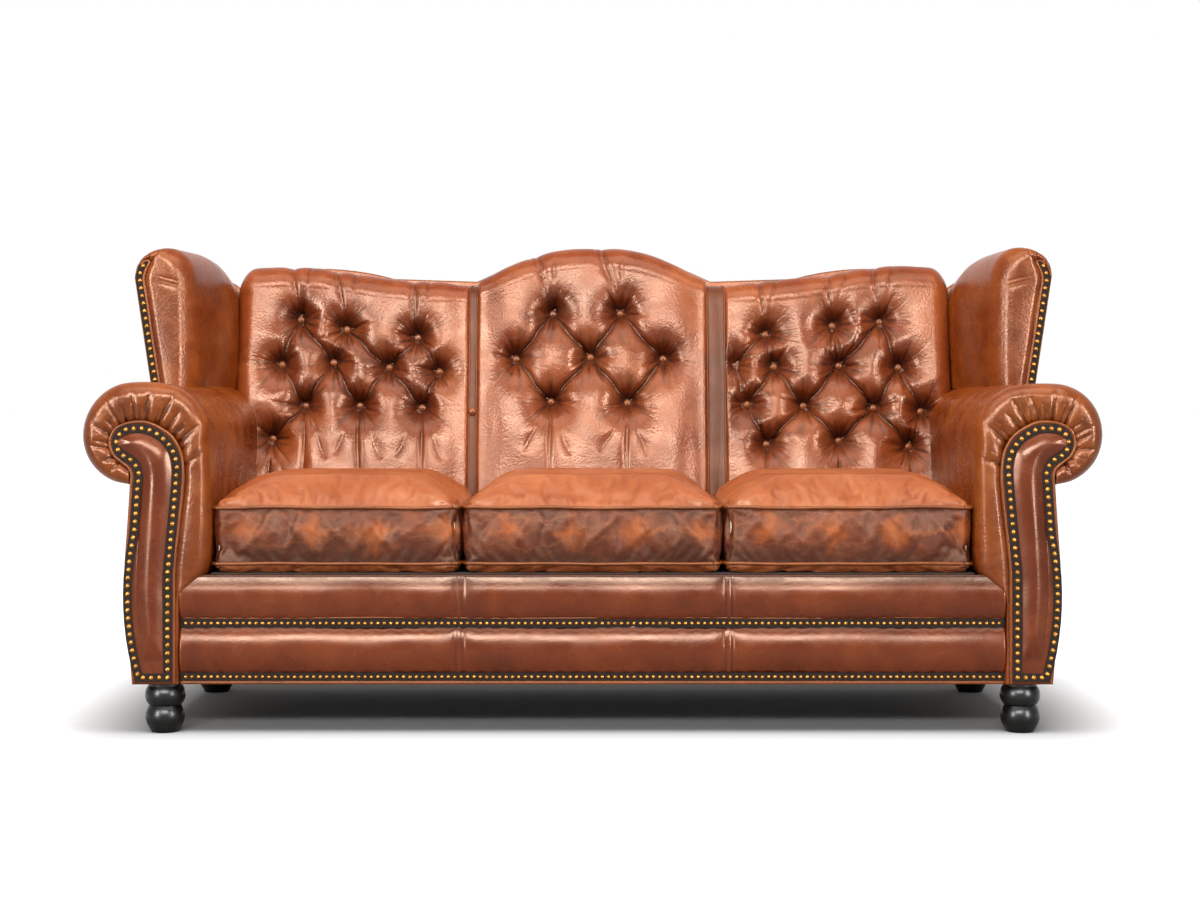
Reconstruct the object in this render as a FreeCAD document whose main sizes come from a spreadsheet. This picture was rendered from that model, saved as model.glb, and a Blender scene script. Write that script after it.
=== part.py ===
import FreeCAD, Part
import math
import os
import Sketcher

from FreeCAD import Vector

# A camel back wing sofa in buttoned leather, in millimetres. The origin is on the floor under
# the middle of the sofa: X runs to the right as seen from the front, Y to the back and Z up.

SIZES = [
    ("total_depth", 880, "front of the arm nails to the rear of the camel top"),
    ("foot_height", 105, "floor to the underside of the base"),
    ("rail_height", 221, "underside of the base to the top of the seat rails"),
    ("clip_height", 6, "spring clip above the seat rail"),
    ("deck_thickness", 4, "felt deck over the springs"),
    ("seat_half", 808, "middle of the sofa to the inside of an arm"),
    ("arm_ledge", 60, "inside of an arm to the end of the base front"),
    ("arm_rise", 402, "deck to the top of an arm"),
    ("roll_radius", 108, "radius of the arm roll"),
    ("roll_flat", 51, "flat top of the arm roll"),
    ("arm_padding", 30, "leather and padding of the arm"),
    ("arm_front_wall", 28, "padding on the front of an arm"),
    ("panel_thickness", 8, "leather on board at the outside of an arm"),
    ("panel_hollow", 6, "outside panel under the roll, out from the roll centre"),
    ("panel_belly", 24, "outside panel at its widest, out from the roll centre"),
    ("panel_foot", -3, "outside panel at its lower edge, out from the roll centre"),
    ("hollow_top_share", 0.89, "height of the hollow's middle, as a share of the outside panel"),
    ("hollow_low_share", 0.77, "height of the hollow's lower end, as a share of the outside panel"),
    ("belly_share", 0.48, "height of the widest place, as a share of the outside panel"),
    ("facing_thickness", 8, "scroll board on the front of an arm"),
    ("facing_inset", 11, "end of the base front to the inner edge of the scroll board"),
    ("trim_thickness", 2.5, "gimp strip under the nails"),
    ("trim_width", 18, "width of the gimp strip"),
    ("trim_margin", 5, "edge of a scroll board to the gimp strip"),
    ("nail_head", 11.5, "diameter of a nail head"),
    ("nail_rise", 3.5, "height of a nail head"),
    ("nail_pitch", 17, "nail to nail on the arms and wings"),
    ("base_nail_head", 9.5, "diameter of a nail head on the base"),
    ("base_nail_pitch", 13.5, "nail to nail on the base"),
    ("wood_thickness", 30, "seat rails and struts"),
    ("sill_width", 77, "sill under an arm"),
    ("sill_height", 60, "sill under an arm"),
    ("post_width", 50, "back post beside the back padding"),
    ("arm_post_width", 55, "front post of an arm"),
    ("arm_post_depth", 40, "front post of an arm, front to back"),
    ("arm_rail_height", 50, "rail inside the arm roll"),
    ("arm_rail_drop", 48, "top of the arm to the top of its rail"),
    ("base_recess", 20, "front of the arm nails to the base valleys"),
    ("base_cover", 15, "padding and leather on the front rail"),
    ("base_bulge", 11, "padded band out from its valleys"),
    ("base_seam", 127, "underside of the base to the upper nail strip"),
    ("camel_rise", 736, "deck to the top of the middle of the back"),
    ("shoulder_rise", 699, "deck to the shoulders of the middle section"),
    ("seam_rise", 657, "deck to the top of the seams in the back"),
    ("dip_rise", 664, "deck to the low part of a side section"),
    ("side_rise", 690, "deck to the top of a side section"),
    ("corner_rise", 667, "deck to the outer corner of a side section"),
    ("seam_half", 292, "middle of the sofa to a seam in the back"),
    ("shoulder_half", 200, "middle of the sofa to a shoulder of the middle section"),
    ("dip_half", 500, "middle of the sofa to the low part of a side section"),
    ("back_slope", 0.18, "lean of the back, run over rise"),
    ("back_padding", 120, "leather and padding of the back"),
    ("back_roll", 28, "rounding of the back's front edge"),
    ("back_foam", 56, "foam behind the tufted cover"),
    ("foam_margin", 45, "edge of the cover to the foam"),
    ("webbing_thickness", 2, "back webbing"),
    ("webbing_width", 55, "back webbing"),
    ("back_frame", 31, "depth of the back posts and rails"),
    ("back_rail_margin", 26, "top of the back padding to the top rail"),
    ("top_rail_height", 70, "least height of the top rail"),
    ("outside_back", 10, "leather panel behind the back frame"),
    ("tuft_radius", 34, "mouth of a button's hollow"),
    ("tuft_depth", 30, "depth of a button's hollow"),
    ("pleat_depth", 13, "depth of a pleat between buttons"),
    ("pleat_half", 12, "half the width of a pleat"),
    ("pleat_reach", 165, "longest pleat between two buttons"),
    ("pleat_run", 250, "pleat from an outer button past the edge of the cover"),
    ("button_size", 17, "diameter of a covered button"),
    ("button_rise", 6, "height of a covered button"),
    ("wing_setback", 430, "front of the arm nails to the front of a wing"),
    ("wing_reach", 250, "front of a wing to where it meets the back"),
    ("wing_flare", 60, "inside of a wing at its front, out from the back's side"),
    ("wing_rise", 312, "top of an arm to the top of a wing at its front"),
    ("wing_drop", 44, "fall of the wing's top towards the back"),
    ("wing_spread", 37, "lean of a wing outwards over its height"),
    ("wing_outside", 54, "outside of a wing's foot, out from the roll centre"),
    ("wing_board", 22, "wooden board inside a wing"),
    ("wing_cap", 66, "top of a wing to the top of its board"),
    ("wing_shoulder", 32, "top of a wing to its outer shoulder"),
    ("wing_inner_shoulder", 38, "top of a wing to its inner shoulder"),
    ("wing_round", 12, "crest of a wing, out from its middle"),
    ("wing_inner_round", 8, "inner shoulder of a wing, out from its inner face"),
    ("wing_edge", 2, "edge of a wing's front to the gimp strip"),
    ("strip_hook", 34, "rise of the gimp strip round the shoulder of a wing"),
    ("strip_bend", 13, "how far the gimp strip bends inwards over that rise"),
    ("cushion_setback", 30, "front of the arm nails to the front of the cushions"),
    ("center_width", 552, "middle cushion"),
    ("cushion_gap", 1, "space between cushions and beside them"),
    ("cushion_side", 143, "height of a cushion's boxing"),
    ("cushion_crown", 51, "rise of a cushion's middle over its boxing"),
    ("cushion_draw", 6, "how far a cushion's sides pull in"),
    ("cushion_wall", 12, "leather and wadding of a cushion"),
    ("piping_size", 8, "height of the piping"),
    ("piping_proud", 3, "piping out from the boxing"),
    ("zip_height", 12, "slot for the zip slider"),
    ("zip_depth", 5, "slot for the zip slider"),
    ("zip_inset", 55, "end of a cushion to the slot for its zip slider"),
    ("slider_length", 22, "zip slider"),
    ("soft_clearance", 0.3, "least space between soft pieces that part"),
    ("foot_radius", 42.5, "upper bulge of a foot"),
    ("foot_lower", 41.5, "lower bulb of a foot"),
    ("foot_neck", 33.5, "neck of a foot"),
    ("foot_top", 36, "top of a foot"),
    ("foot_base", 28.5, "bottom of a foot"),
    ("foot_inset", 50, "front of the arm nails to the middle of a front foot"),
    ("foot_rear_inset", 47, "rear end of the sill to the middle of a rear foot"),
    ("bolt_size", 8, "hanger bolt of a foot"),
    ("bolt_reach", 30, "hanger bolt into the foot and into the wood"),
    ("spring_wire", 4, "seat spring wire"),
    ("spring_turn", 12, "bend radius of a seat spring"),
    ("spring_run", 26, "straight run of a seat spring"),
    ("spring_count", 10, "seat springs"),
    ("clip_length", 20, "spring clip"),
    ("clip_width", 10, "spring clip"),
    ("strut_drop", 26, "top of the seat rails to the top of the struts"),
    ("strut_height", 100, "seat struts"),
    ("block_leg", 70, "legs of the corner blocks"),
    ("dust_cloth", 1.5, "cloth under the base"),
]

doc = FreeCAD.newDocument("leather_sofa")
sheet = doc.addObject("Spreadsheet::Sheet", "Sizes")
for row, (alias, number, meaning) in enumerate(SIZES, start=1):
    sheet.set(f"A{row}", alias)
    sheet.set(f"B{row}", str(number))
    sheet.set(f"C{row}", meaning)
    sheet.setAlias(f"B{row}", alias)
doc.recompute()


def size(alias):
    return float(sheet.get(alias))


parts = {}


def keep(piece, name):
    """Give a finished piece its label and put it on the list of sub-parts."""
    piece.Label = name
    parts[name] = piece
    return piece


def form(name, shape):
    """A sub-part whose shape is worked out here from the sheet."""
    piece = doc.addObject("Part::Feature", name)
    piece.Shape = shape
    piece.Placement = FreeCAD.Placement()
    return keep(piece, name)


def group(name, shapes):
    return form(name, Part.makeCompound(shapes))


def box(name, length, width, height, x, y, z):
    """A box whose six values are expressions on the sheet."""
    piece = doc.addObject("Part::Box", name)
    for target, expression in (
        ("Length", length),
        ("Width", width),
        ("Height", height),
        ("Placement.Base.x", x),
        ("Placement.Base.y", y),
        ("Placement.Base.z", z),
    ):
        piece.setExpression(target, expression)
    return piece


def sketch_on(body, role, name):
    """A sketch on one of the body's own origin planes."""
    sketch = body.newObject("Sketcher::SketchObject", name)
    plane = [item for item in body.Origin.OriginFeatures if item.Role == role][0]
    sketch.AttachmentSupport = (plane, "")
    sketch.MapMode = "FlatFace"
    return sketch


def bind_outline(sketch, corners):
    """Draw a closed outline of lines, with its corners held by expressions.

    A corner's third expression is the radius of an arc that starts there, to the right of its run.
    """
    places = [(evaluate(corner[0]), evaluate(corner[1])) for corner in corners]
    bulges = {index: corner[2] for index, corner in enumerate(corners) if len(corner) > 2}
    count = len(corners)
    for index in range(count):
        start = Vector(*places[index], 0)
        end = Vector(*places[(index + 1) % count], 0)
        if index in bulges:
            radius = evaluate(bulges[index])
            half = (end - start).Length / 2
            rise = radius - math.sqrt(radius ** 2 - half ** 2)
            right = Vector(end - start).normalize().cross(Vector(0, 0, 1))
            sketch.addGeometry(Part.Arc(start, (start + end) / 2 + right * rise, end), False)
        else:
            sketch.addGeometry(Part.LineSegment(start, end), False)
    for index in range(count):
        joint = ("Coincident", index, 2, (index + 1) % count, 1)
        sketch.addConstraint(Sketcher.Constraint(*joint))
    for index, corner in enumerate(corners):
        for kind, expression in (("DistanceX", corner[0]), ("DistanceY", corner[1])):
            held = (kind, -1, 1, index, 1, evaluate(expression))
            number = sketch.addConstraint(Sketcher.Constraint(*held))
            sketch.setExpression(f"Constraints[{number}]", expression)
    for index, expression in bulges.items():
        held = ("Radius", index, evaluate(expression))
        number = sketch.addConstraint(Sketcher.Constraint(*held))
        sketch.setExpression(f"Constraints[{number}]", expression)


probe = doc.addObject("Part::Vertex", "Probe")


def evaluate(expression):
    return float(probe.evalExpression(expression))


def sheet_names(text):
    """Write {alias} for a value of the sheet."""
    for alias, _, _ in SIZES:
        text = text.replace("{" + alias + "}", "Sizes." + alias)
    return text


def draw(place, steps):
    """A closed wire. A step of two numbers is a line to there, one of four an arc through there."""
    edges = []
    here = place(*steps[0][-2:])
    for step in steps[1:] + [steps[0][-2:]]:
        there = place(*step[-2:])
        if len(step) == 4:
            edges.append(Part.Arc(here, place(*step[:2]), there).toShape())
        elif (there - here).Length > 0.001:
            edges.append(Part.LineSegment(here, there).toShape())
        here = there
    return Part.Wire(edges)


def slab(place, steps, thickness):
    """The outline, thickened towards the back."""
    return Part.Face(draw(place, steps)).extrude(Vector(0, thickness, 0))


def dome(middle, direction, across, rise):
    """A round head that stands on its flat face."""
    ball = ((across / 2) ** 2 + rise ** 2) / (2 * rise)
    start = math.degrees(math.asin((ball - rise) / ball))
    return Part.makeSphere(ball, middle - direction * (ball - rise), direction, start, 90)


SIDES = (("left", -1), ("right", 1))

# Levels and lines that several pieces share
front = -size("total_depth") / 2
rear = size("total_depth") / 2
floor_gap = size("foot_height")
rail_top = floor_gap + size("rail_height")
deck = rail_top + size("clip_height") + size("deck_thickness")
seat_half = size("seat_half")
base_half = seat_half + size("arm_ledge")
roll = size("roll_radius")
roll_inner = seat_half + roll
roll_outer = roll_inner + size("roll_flat")
arm_top = deck + size("arm_rise")
roll_level = arm_top - roll
camel_top = deck + size("camel_rise")
slope = size("back_slope")
frame_depth = size("back_padding") + size("webbing_thickness")
panel_depth = frame_depth + size("back_frame")
back_depth = panel_depth + size("outside_back")
clear = size("soft_clearance")
beyond = 2 * (roll_outer + camel_top)
forward = Vector(0, -1, 0)


def back_line(z, depth=0):
    """Y of the leaning back at a height, this far behind its front face."""
    return rear - back_depth + depth - slope * (camel_top - z)


def upright(side, y):
    return lambda x, z: Vector(side * x, y, z)


def leaning(side, depth):
    return lambda x, z: Vector(side * x, back_line(z, depth), z)


def behind(depth):
    """All the space further back than this depth of the leaning back."""
    corners = [
        Vector(-beyond, back_line(-beyond, depth), -beyond),
        Vector(-beyond, back_line(beyond, depth), beyond),
        Vector(-beyond, rear + beyond, beyond),
        Vector(-beyond, rear + beyond, -beyond),
    ]
    return Part.Face(Part.makePolygon(corners + corners[:1])).extrude(Vector(2 * beyond, 0, 0))


# The same lines as expressions, for the pieces that are bound to the sheet
FRONT = "(-{total_depth} / 2)"
RAIL_TOP = "({foot_height} + {rail_height})"
DECK = "(" + RAIL_TOP + " + {clip_height} + {deck_thickness})"
BASE_HALF = "({seat_half} + {arm_ledge})"
FRAME_DEPTH = "({back_padding} + {webbing_thickness})"
RAIL_FRONT = "(" + FRONT + " + {base_recess} + {base_cover})"


def back_expression(height, depth):
    fall = f"{{back_slope}} * ({DECK} + {{camel_rise}} - ({height}))"
    total = f"({FRAME_DEPTH} + {{back_frame}} + {{outside_back}})"
    return f"({{total_depth}} / 2 - {total} + {depth} - {fall})"


def bound_box(name, *expressions):
    return box(name, *[sheet_names(text) for text in expressions])


def bound_pad(name, role, corners, start, length):
    """A padded sketch; start and length run along the plane's normal."""
    body = doc.addObject("PartDesign::Body", name)
    sketch = sketch_on(body, role, name + "_outline")
    bind_outline(sketch, [[sheet_names(text) for text in corner] for corner in corners])
    sketch.setExpression("AttachmentOffset.Base.z", sheet_names(start))
    pad = body.newObject("PartDesign::Pad", name + "_pad")
    pad.Profile = sketch
    pad.setExpression("Length", sheet_names(length))
    body.Tip = pad
    return body


# Wooden base: a front rail, a sill under each arm, a leaning back rail, struts and corner blocks
keep(
    bound_box(
        "front_rail",
        f"2 * {BASE_HALF}",
        "{wood_thickness}",
        "{rail_height}",
        f"-{BASE_HALF}",
        RAIL_FRONT,
        "{foot_height}",
    ),
    "front_rail",
)

wall_back = front + size("nail_rise") + size("trim_thickness") + size("facing_thickness")
wall_back += size("arm_front_wall")
sill_rear = back_line(floor_gap, panel_depth)
FOOT_PLACES = [
    (side * (base_half + size("sill_width") / 2), y)
    for _, side in SIDES
    for y in (front + size("foot_inset"), sill_rear - size("foot_rear_inset"))
]


def bolt(x, y, low, high):
    return Part.makeCylinder(size("bolt_size") / 2, high - low, Vector(x, y, low))


bolt_holes = [
    bolt(x, y, floor_gap - size("bolt_reach"), floor_gap + size("bolt_reach")) for x, y in FOOT_PLACES
]
group("foot_bolts", bolt_holes)

sills = []
for _, side in SIDES:
    low_x = min(side * base_half, side * (base_half + size("sill_width")))
    corner = Vector(low_x, wall_back, floor_gap)
    sill = Part.makeBox(size("sill_width"), sill_rear - wall_back, size("sill_height"), corner)
    sills.append(sill.cut(bolt_holes))
group("sills", sills)

struts = []
for label, side in SIDES:
    low = f"({RAIL_TOP} - {{strut_drop}} - {{strut_height}})"
    high = f"({RAIL_TOP} - {{strut_drop}})"
    rear_low = back_expression(low, FRAME_DEPTH)
    rear_high = back_expression(high, FRAME_DEPTH)
    rail_rear = f"({RAIL_FRONT} + {{wood_thickness}})"
    strut = bound_pad(
        f"seat_strut_{label}",
        "YZ_Plane",
        [(rail_rear, low), (rear_low, low), (rear_high, high), (rail_rear, high)],
        f"{side} * {{seam_half}} - {{wood_thickness}} / 2",
        "{wood_thickness}",
    )
    struts.append(strut)
seat_struts = doc.addObject("Part::Compound", "seat_struts")
seat_struts.Links = struts
keep(seat_struts, "seat_struts")

for label, side in SIDES:
    high = "(" + DECK + " + {arm_rise} - {arm_rail_drop})"
    low = "(" + high + " - {arm_rail_height})"
    post_rear = (
        "(" + FRONT + " + {nail_rise} + {trim_thickness} + {facing_thickness}"
        " + {arm_front_wall} + {arm_post_depth})"
    )
    middle = f"{side} * ({BASE_HALF} + {{sill_width}} / 2)"
    rail = bound_pad(
        f"arm_rail_{label}",
        "YZ_Plane",
        [
            (post_rear, low),
            (back_expression(low, FRAME_DEPTH), low),
            (back_expression(high, FRAME_DEPTH), high),
            (post_rear, high),
        ],
        f"{middle} - {{arm_post_width}} / 2",
        "{arm_post_width}",
    )
    keep(rail, f"arm_rail_{label}")
    post = bound_box(
        f"front_post_{label}",
        "{arm_post_width}",
        "{arm_post_depth}",
        f"{high} - {{foot_height}} - {{sill_height}}",
        f"{middle} - {{arm_post_width}} / 2",
        f"{post_rear} - {{arm_post_depth}}",
        "{foot_height} + {sill_height}",
    )
    keep(post, f"front_post_{label}")

# Leaning back frame: a post with an ear that carries the arm rail, rails, slats and webbing
post_outer = base_half
post_inner = base_half - size("post_width")
ear_outer = base_half + size("sill_width") / 2 + size("arm_post_width") / 2
ear_top = arm_top - size("arm_rail_drop")
post_top = deck + size("corner_rise") - size("back_rail_margin")
sill_top = floor_gap + size("sill_height")
for label, side in SIDES:
    steps = [
        (post_inner, floor_gap),
        (post_outer, floor_gap),
        (post_outer, sill_top),
        (ear_outer, sill_top),
        (ear_outer, ear_top),
        (post_outer, ear_top),
        (post_outer, post_top),
        (post_inner, post_top),
    ]
    form(f"back_post_{label}", slab(leaning(side, frame_depth), steps, size("back_frame")))

frame_place = leaning(1, frame_depth)
steps = [(-post_inner, floor_gap), (post_inner, floor_gap), (post_inner, rail_top), (-post_inner, rail_top)]
form("back_rail", slab(frame_place, steps, size("back_frame")))


def camel(margin, half, low):
    """The top line of the back, lowered by a margin, down to a level at both ends."""
    seam = size("seam_half")
    shoulder = size("shoulder_half")
    dip = size("dip_half")
    rise = {
        name: deck + size(name + "_rise") - margin
        for name in ("camel", "shoulder", "seam", "dip", "side", "corner")
    }
    crest = (half + dip) / 2
    return [
        (-half, low),
        (half, low),
        (half, rise["corner"]),
        (crest, rise["side"], dip, rise["dip"]),
        (seam, rise["seam"]),
        (shoulder, rise["shoulder"]),
        (0, rise["camel"], -shoulder, rise["shoulder"]),
        (-seam, rise["seam"]),
        (-dip, rise["dip"]),
        (-crest, rise["side"], -half, rise["corner"]),
    ]


rail_low = deck + size("seam_rise") - size("back_rail_margin") - size("top_rail_height")
steps = camel(size("back_rail_margin"), base_half, rail_low)
between_posts = Part.makeBox(2 * post_inner, beyond, beyond, Vector(-post_inner, 0, 0))
top_rail = slab(frame_place, steps, size("back_frame")).common(between_posts)
form("back_top_rail", top_rail.Solids[0])

slats = []
for _, side in SIDES:
    inner = size("seam_half") - size("wood_thickness") / 2
    outer = size("seam_half") + size("wood_thickness") / 2
    steps = [(inner, rail_top), (outer, rail_top), (outer, rail_low), (inner, rail_low)]
    slats.append(slab(leaning(side, frame_depth), steps, size("back_frame")))
group("back_slats", slats)

WEBBING_ROWS = 5
bands = []
for number in range(WEBBING_ROWS):
    middle = deck + (number + 0.5) * (rail_low - deck) / WEBBING_ROWS
    low = middle - size("webbing_width") / 2
    high = middle + size("webbing_width") / 2
    reach = (post_inner + post_outer) / 2
    steps = [(-reach, low), (reach, low), (reach, high), (-reach, high)]
    place = leaning(1, size("back_padding"))
    bands.append(slab(place, steps, size("webbing_thickness")))
group("back_webbing", bands)

blocks = []
leg = size("block_leg")
rail_rear = front + size("base_recess") + size("base_cover") + size("wood_thickness")
for _, side in SIDES:
    corners = [
        Vector(side * base_half, rail_rear, floor_gap),
        Vector(side * (base_half - leg), rail_rear, floor_gap),
        Vector(side * base_half, rail_rear + leg, floor_gap),
    ]
    triangle = Part.Face(Part.makePolygon(corners + corners[:1]))
    blocks.append(triangle.extrude(Vector(0, 0, size("sill_height"))))
    back = back_line(floor_gap, frame_depth)
    corners = [
        Vector(side * post_inner, back, floor_gap),
        Vector(side * (post_inner - leg), back, floor_gap),
        Vector(side * base_half, back - leg, floor_gap),
        Vector(side * base_half, back, floor_gap),
    ]
    plan = Part.Face(Part.makePolygon(corners + corners[:1]))
    blocks.append(plan.extrude(Vector(0, slope * size("sill_height"), size("sill_height"))))
group("corner_blocks", blocks)

# Seat suspension: zigzag springs held by clips on the rails, under a felt deck
wire = size("spring_wire")
turn = size("spring_turn")
half_run = size("spring_run") / 2
spring_level = rail_top + wire / 2
spring_front = rail_rear - size("wood_thickness") / 2
spring_rear = back_line(rail_top, frame_depth) + size("back_frame") / 2
runs = int((spring_rear - spring_front) / (2 * turn)) + 1
spring_start = spring_front
edges = []
for number in range(runs):
    y = spring_start + 2 * turn * number
    towards = 1 if number % 2 == 0 else -1
    begin = Vector(-towards * half_run, y, spring_level)
    end = Vector(towards * half_run, y, spring_level)
    edges.append(Part.LineSegment(begin, end).toShape())
    if number < runs - 1:
        bend = Vector(towards * (half_run + turn), y + turn, spring_level)
        edges.append(Part.Arc(end, bend, end + Vector(0, 2 * turn, 0)).toShape())
path = Part.Wire(edges)
section = Part.Wire(Part.makeCircle(wire / 2, path.Vertexes[0].Point, Vector(1, 0, 0)))
spring = path.makePipeShell([section], True, False)
last_run = spring_start + 2 * turn * (runs - 1)
clip = Part.makeBox(
    size("clip_length"),
    size("clip_width"),
    size("clip_height"),
    Vector(-size("clip_length") / 2, -size("clip_width") / 2, rail_top),
)
channel = Part.makeCylinder(
    wire / 2 + clear, size("clip_length") * 2, Vector(-size("clip_length"), 0, spring_level), Vector(1, 0, 0)
)
clip = clip.cut(channel)
springs = []
clips = []
count = int(size("spring_count"))
for number in range(count):
    x = (number - (count - 1) / 2) * 2 * (seat_half - half_run) / count
    springs.append(spring.translated(Vector(x, 0, 0)))
    clips.append(clip.translated(Vector(x, spring_start, 0)))
    clips.append(clip.translated(Vector(x, last_run, 0)))
group("seat_springs", springs)
group("spring_clips", clips)

deck_front = RAIL_FRONT
deck_rear = back_expression(f"({DECK} - {{deck_thickness}})", FRAME_DEPTH)
keep(
    bound_box(
        "deck_pad",
        "2 * ({seat_half} - {soft_clearance})",
        f"{deck_rear} - {deck_front} - {{soft_clearance}}",
        "{deck_thickness}",
        "-({seat_half} - {soft_clearance})",
        deck_front,
        f"{DECK} - {{deck_thickness}}",
    ),
    "deck_pad",
)

# Padded base front in two bands, with a nailed strip along each lower edge
low = "{foot_height}"
strip = "({foot_height} + {trim_width} + 2 * {trim_margin})"
seam_low = "({foot_height} + {base_seam} - {trim_width} / 2)"
seam_high = "({foot_height} + {base_seam} + {trim_width} / 2)"
top = RAIL_TOP
valley = "(" + FRONT + " + {base_recess})"


def band_radius(lower, upper):
    """Radius of an arc that stands the bulge out from a band of this height."""
    half = f"(({upper} - {lower}) / 2)"
    return f"({half} * {half} + {{base_bulge}} * {{base_bulge}}) / (2 * {{base_bulge}})"


base_cover = bound_pad(
    "base_front_cover",
    "YZ_Plane",
    [
        (RAIL_FRONT, low),
        (RAIL_FRONT, top),
        (valley, top, band_radius(seam_high, top)),
        (valley, seam_high),
        (valley, seam_low, band_radius(strip, seam_low)),
        (valley, strip),
        (valley, low),
    ],
    f"-{BASE_HALF}",
    f"2 * {BASE_HALF}",
)
keep(base_cover, "base_front_cover")

valley_y = front + size("base_recess")
strip_width = size("trim_width")
strip_levels = [
    floor_gap + size("trim_margin") + strip_width / 2,
    floor_gap + size("base_seam"),
]
base_trims = []
base_nails = []
nails = int(2 * base_half / size("base_nail_pitch"))
for level in strip_levels:
    corner = Vector(-base_half, valley_y - size("trim_thickness"), level - strip_width / 2)
    base_trims.append(Part.makeBox(2 * base_half, size("trim_thickness"), strip_width, corner))
    for number in range(nails):
        x = (number - (nails - 1) / 2) * size("base_nail_pitch")
        middle = Vector(x, valley_y - size("trim_thickness"), level)
        base_nails.append(dome(middle, forward, size("base_nail_head"), size("nail_rise")))
group("base_trims", base_trims)
group("base_nails", base_nails)

cloth = bound_box(
    "dust_cover",
    f"2 * {BASE_HALF} - 4 * {{trim_width}}",
    f"{back_expression('{foot_height}', FRAME_DEPTH)} + {{back_frame}} / 2 - {RAIL_FRONT}",
    "{dust_cloth}",
    f"-{BASE_HALF} + 2 * {{trim_width}}",
    RAIL_FRONT,
    "{foot_height} - {dust_cloth}",
)
keep(cloth, "dust_cover")

# Arms: a padded sleeve with a closed front, an outside panel and a nailed scroll board
ROLL_WRAP_DEGREES = 85
end_angle = math.radians(ROLL_WRAP_DEGREES)
roll_end = (roll_outer + roll * math.cos(end_angle), roll_level - roll * math.sin(end_angle))
outer_height = roll_end[1] - floor_gap
hollow_top = floor_gap + size("hollow_top_share") * outer_height
hollow_low = floor_gap + size("hollow_low_share") * outer_height
belly = floor_gap + size("belly_share") * outer_height


def outside_steps(shift):
    """The outside of an arm from the roll down to the base, as two arcs."""
    return [
        (roll_outer + size("panel_hollow") - shift, hollow_top, roll_end[0] - shift, hollow_low),
        (
            roll_outer + size("panel_belly") - shift,
            belly,
            roll_outer + size("panel_foot") - shift,
            floor_gap,
        ),
    ]


def outside_up_steps(shift):
    """The same line from the base up to the roll."""
    down = outside_steps(shift)
    return [
        (down[1][0], down[1][1], down[0][2], down[0][3]),
        (down[0][0], down[0][1], roll_end[0] - shift, roll_end[1]),
    ]


root_half = math.sqrt(0.5)
roll_over = [
    (roll_inner - roll * root_half, roll_level + roll * root_half, roll_inner, arm_top),
    (roll_outer, arm_top),
    (roll_outer + roll * root_half, roll_level + roll * root_half, roll_outer + roll, roll_level),
    (roll_outer + roll * root_half, roll_level - roll * root_half, roll_end[0], roll_end[1]),
]
front_steps = [
    (base_half, floor_gap),
    (base_half, rail_top),
    (seat_half, rail_top),
    (seat_half, roll_level),
    *roll_over,
    *outside_steps(0),
]

pad = size("arm_padding")
inner_roll = roll - pad
lip_x = roll_end[0] - pad
lip_z = roll_level - math.sqrt(inner_roll ** 2 - (roll_outer - lip_x) ** 2)
sleeve_steps = [
    (seat_half, rail_top),
    (seat_half, roll_level),
    *roll_over,
    (lip_x, roll_end[1]),
    (lip_x, lip_z),
    (
        roll_outer + inner_roll * root_half,
        roll_level - inner_roll * root_half,
        roll_outer + inner_roll,
        roll_level,
    ),
    (
        roll_outer + inner_roll * root_half,
        roll_level + inner_roll * root_half,
        roll_outer,
        roll_level + inner_roll,
    ),
    (roll_inner, roll_level + inner_roll),
    (
        roll_inner - inner_roll * root_half,
        roll_level + inner_roll * root_half,
        seat_half + pad,
        roll_level,
    ),
    (seat_half + pad, rail_top),
]

wall_front = wall_back - size("arm_front_wall")
post_space = behind(size("back_padding")).common(
    Part.makeBox(2 * (base_half + clear), beyond, beyond, Vector(-base_half - clear, 0, 0))
)
for label, side in SIDES:
    front_wall = slab(upright(side, wall_front), front_steps, size("arm_front_wall"))
    sleeve = slab(upright(side, wall_back), sleeve_steps, size("total_depth"))
    cover = front_wall.fuse(sleeve).removeSplitter()
    cover = cover.cut([behind(panel_depth), post_space])
    form(f"arm_cover_{label}", cover.Solids[0])

    thin = size("panel_thickness")
    steps = [
        (roll_end[0] - thin, roll_end[1]),
        roll_end,
        *outside_steps(0),
        (roll_outer + size("panel_foot") - thin, floor_gap),
        *outside_up_steps(thin),
    ]
    panel = slab(upright(side, wall_back), steps, size("total_depth")).cut(behind(panel_depth))
    form(f"arm_outer_{label}", panel.Solids[0])

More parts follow.
